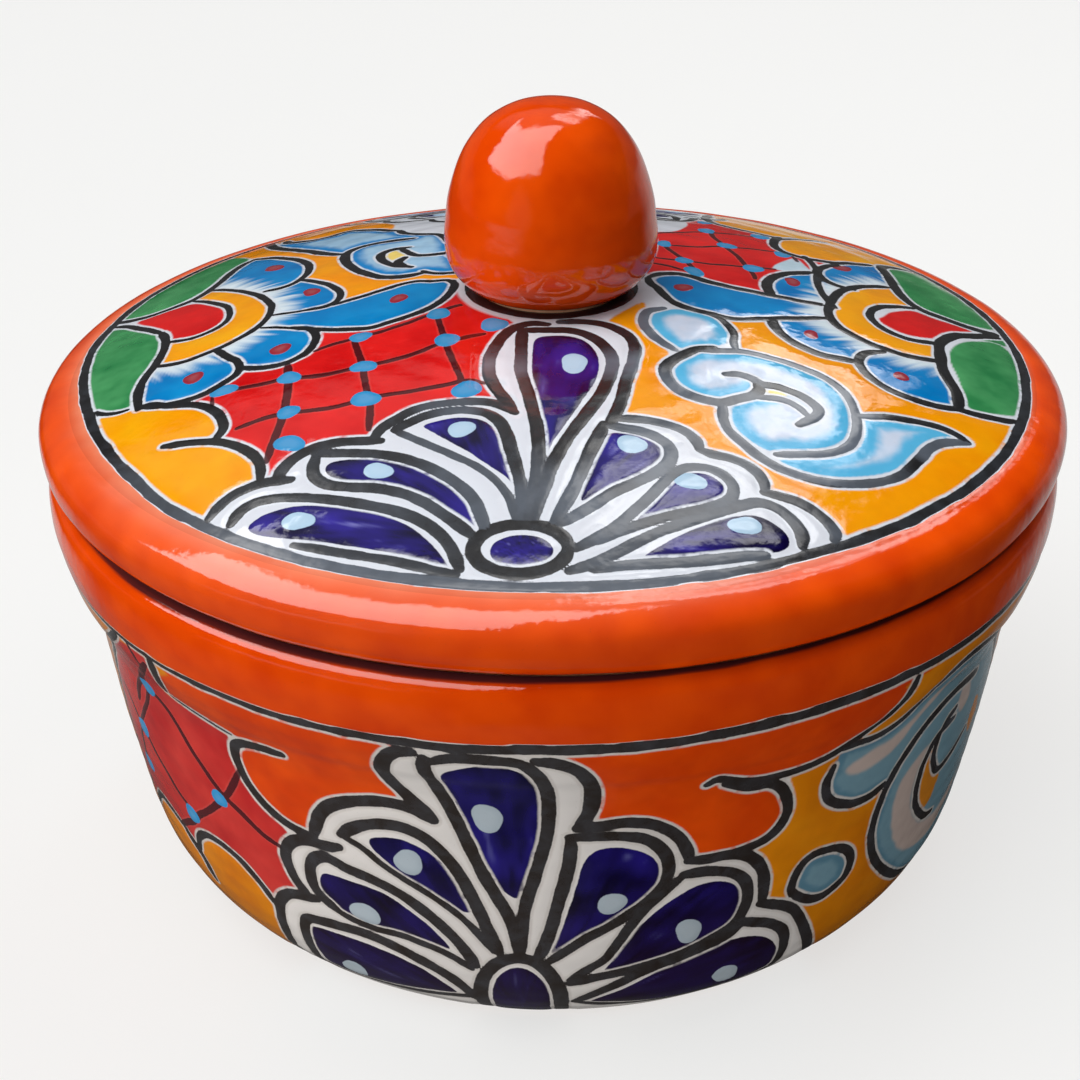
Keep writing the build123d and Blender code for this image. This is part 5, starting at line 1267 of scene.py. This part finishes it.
# ---------------------------------------------------------------- floor and studio light
mesh = bpy.data.meshes.new("floor")
k = 64
ring = [(20 * math.cos(2 * math.pi * i / k), 20 * math.sin(2 * math.pi * i / k), -0.0002) for i in range(k)]
mesh.from_pydata(ring, [], [list(range(k))])
floor = bpy.data.objects.new("floor", mesh)
bpy.context.scene.collection.objects.link(floor)
mat, nt, bsdf = material("floor_paper")
nt.links.new(mix(nt, noise_tex(nt, 3, 3), (0.20, 0.20, 0.199), (0.21, 0.21, 0.209)), bsdf.inputs["Base Color"])
bsdf.inputs["Emission Color"].default_value = (1.0, 1.0, 0.99, 1.0)
bsdf.inputs["Emission Strength"].default_value = 0.68
bsdf.inputs["Roughness"].default_value = 0.9
bsdf.inputs["Specular IOR Level"].default_value = 0.1
mesh.materials.append(mat)
floor.visible_glossy = floor.visible_diffuse = floor.visible_shadow = False
# a pale backdrop all round, far away, for views from low down
back_mesh = bpy.data.meshes.new("backdrop")
high = [(x, y, 14.0) for x, y, _ in ring]
back_mesh.from_pydata(ring + high, [], [[(i + 1) % k, i, k + i, k + (i + 1) % k] for i in range(k)])
back_mesh.materials.append(mat)
backdrop = bpy.data.objects.new("backdrop", back_mesh)
bpy.context.scene.collection.objects.link(backdrop)
backdrop.visible_glossy = backdrop.visible_diffuse = backdrop.visible_shadow = False

world = bpy.data.worlds.new("studio")
bpy.context.scene.world = world
world.use_nodes = True
nt = world.node_tree
nt.nodes.clear()
out = nt.nodes.new("ShaderNodeOutputWorld")
bg = nt.nodes.new("ShaderNodeBackground")
nt.links.new(bg.outputs[0], out.inputs[0])
co = node(nt, "TexCoord").outputs["Generated"]
AMBIENT, BOX, ARM = 0.010, 3.25, 2.9
fold = node(nt, "TexNoise", {"Vector": co, "Scale": 5.0, "Detail": 2.0, "Roughness": 0.5}).outputs["Fac"]
dx, dy, dz = node(nt, "SeparateXYZ", {0: co}).outputs


def side(x, y, z, width=0.07, ragged=0.16):
    """1 on one side of a plane through the object, 0 on the other, with a soft ragged edge."""
    dot = node(nt, "VectorMath", {0: co, 1: (x, y, z)}, operation="DOT_PRODUCT").outputs["Value"]
    dot = math_(nt, "MULTIPLY_ADD", fold, ragged, math_(nt, "SUBTRACT", dot, 0.5 * ragged))
    return ramp(nt, dot, -0.5 * width, 0.5 * width)


def times(*parts):
    out = parts[0]
    for part in parts[1:]:
        out = math_(nt, "MULTIPLY", out, part)
    return out


# a wide soft box overhead and to the left, and an arm of it that reaches back and right
up = ramp(nt, dz, 0.0, 0.05)
back = math_(nt, "MAXIMUM", side(0, -1, 0.31, 0.10, 0.10), times(side(-1, 0, -0.46), side(0.684, -1, 1.05)))
box = times(up, side(1, 0, 1.75, 0.12), side(0, 1, 1.08, 0.12), side(-0.6, 0.55, 0.40, 0.12), side(-1, 0.35, 0.04, 0.05, 0.10), back)
arm = times(up, side(0, 1, -0.50), side(-1, 0.40, 0.14, 0.05, 0.14), side(1, -0.37, 0.20, 0.10, 0.24), side(0, -1, 1.85))
# the arm is dim where it leaves the box, and patchy
gap = times(side(0, 1, -0.74, 0.10), side(0, -1, 1.0, 0.14), side(1, 0, -0.22))
arm = math_(nt, "MULTIPLY", arm, math_(nt, "MULTIPLY_ADD", gap, -0.62, 1.0))
patch = node(nt, "TexNoise", {"Vector": co, "Scale": 16.0, "Detail": 2.0, "Roughness": 0.55, "Distortion": 0.6}).outputs["Fac"]
arm = math_(nt, "MULTIPLY", arm, ramp(nt, patch, 0.36, 0.56, 0.45, 1.0))
# a dim fill behind, the pale paper low down behind the object, and a thin low light at the front left
fill = times(up, ramp(nt, dy, 0.2, 0.4), side(0, -1, 1.4, 0.2), ramp(nt, dx, 0.35, 0.1), ramp(nt, dx, -0.62, -0.4))
lean = math_(nt, "MULTIPLY_ADD", dx, -0.244, dz)
paper = times(ramp(nt, dy, 0.35, 0.8), ramp(nt, lean, -0.08, -0.24), ramp(nt, dz, -0.66, -0.42))
table = times(ramp(nt, dz, -0.58, -0.80), ramp(nt, dx, 0.3, -0.1))
table = math_(nt, "MAXIMUM", table, times(ramp(nt, dz, -0.36, -0.56), ramp(nt, dx, -0.2, -0.5)))
table = math_(nt, "MAXIMUM", table, times(side(0, 1, -2.0, 0.3), ramp(nt, dz, -0.10, 0.0)))
strip = times(ramp(nt, dz, -0.16, -0.06), ramp(nt, dz, 0.04, -0.04), ramp(nt, dy, -0.2, -0.5), ramp(nt, dx, -0.4, -0.75))
level = math_(nt, "MULTIPLY_ADD", dx, -0.26 * BOX, BOX)
level = math_(nt, "MULTIPLY_ADD", math_(nt, "MINIMUM", dy, 0.0), 0.38 * BOX, level)
total = math_(nt, "MULTIPLY_ADD", box, level, AMBIENT)
total = math_(nt, "MAXIMUM", total, math_(nt, "MULTIPLY", arm, ARM))
total = math_(nt, "MULTIPLY_ADD", fill, 0.24, total)
total = math_(nt, "MULTIPLY_ADD", paper, 0.5, total)
total = math_(nt, "MULTIPLY_ADD", table, 0.055, total)
total = math_(nt, "MULTIPLY_ADD", strip, 0.4, total)
nt.links.new(total, bg.inputs["Strength"])
bg.inputs["Color"].default_value = (1.0, 0.992, 0.98, 1.0)
# light thrown back by the table: it brightens the wall without a mirror image of itself
lamp = bpy.data.lights.new("table_bounce", "AREA")
lamp.shape, lamp.size, lamp.energy = "DISK", 3.0, 12.5
bounce = bpy.data.objects.new("table_bounce", lamp)
bpy.context.scene.collection.objects.link(bounce)
bounce.location = (-0.25, -0.25, -0.05)
bounce.rotation_euler = (math.pi, 0, 0)
bounce.visible_camera = bounce.visible_glossy = False
# a soft fill from the front left
lamp = bpy.data.lights.new("front_fill", "AREA")
lamp.shape, lamp.size, lamp.energy = "DISK", 0.8, 8.0
filler = bpy.data.objects.new("front_fill", lamp)
bpy.context.scene.collection.objects.link(filler)
filler.location = (-0.92, -1.30, 0.46)
filler.rotation_euler = Vector((-0.92, -1.30, 0.40)).to_track_quat("Z", "Y").to_euler()
filler.visible_camera = filler.visible_glossy = False
# a soft fill from above on the right
lamp = bpy.data.lights.new("top_fill", "AREA")
lamp.shape, lamp.size, lamp.energy = "DISK", 0.9, 3.6
top = bpy.data.objects.new("top_fill", lamp)
bpy.context.scene.collection.objects.link(top)
top.location = (0.55, 0.20, 1.00)
top.rotation_euler = Vector((0.55, 0.20, 0.86)).to_track_quat("Z", "Y").to_euler()
top.visible_camera = top.visible_glossy = False
bpy.context.scene.view_settings.view_transform = "Standard"
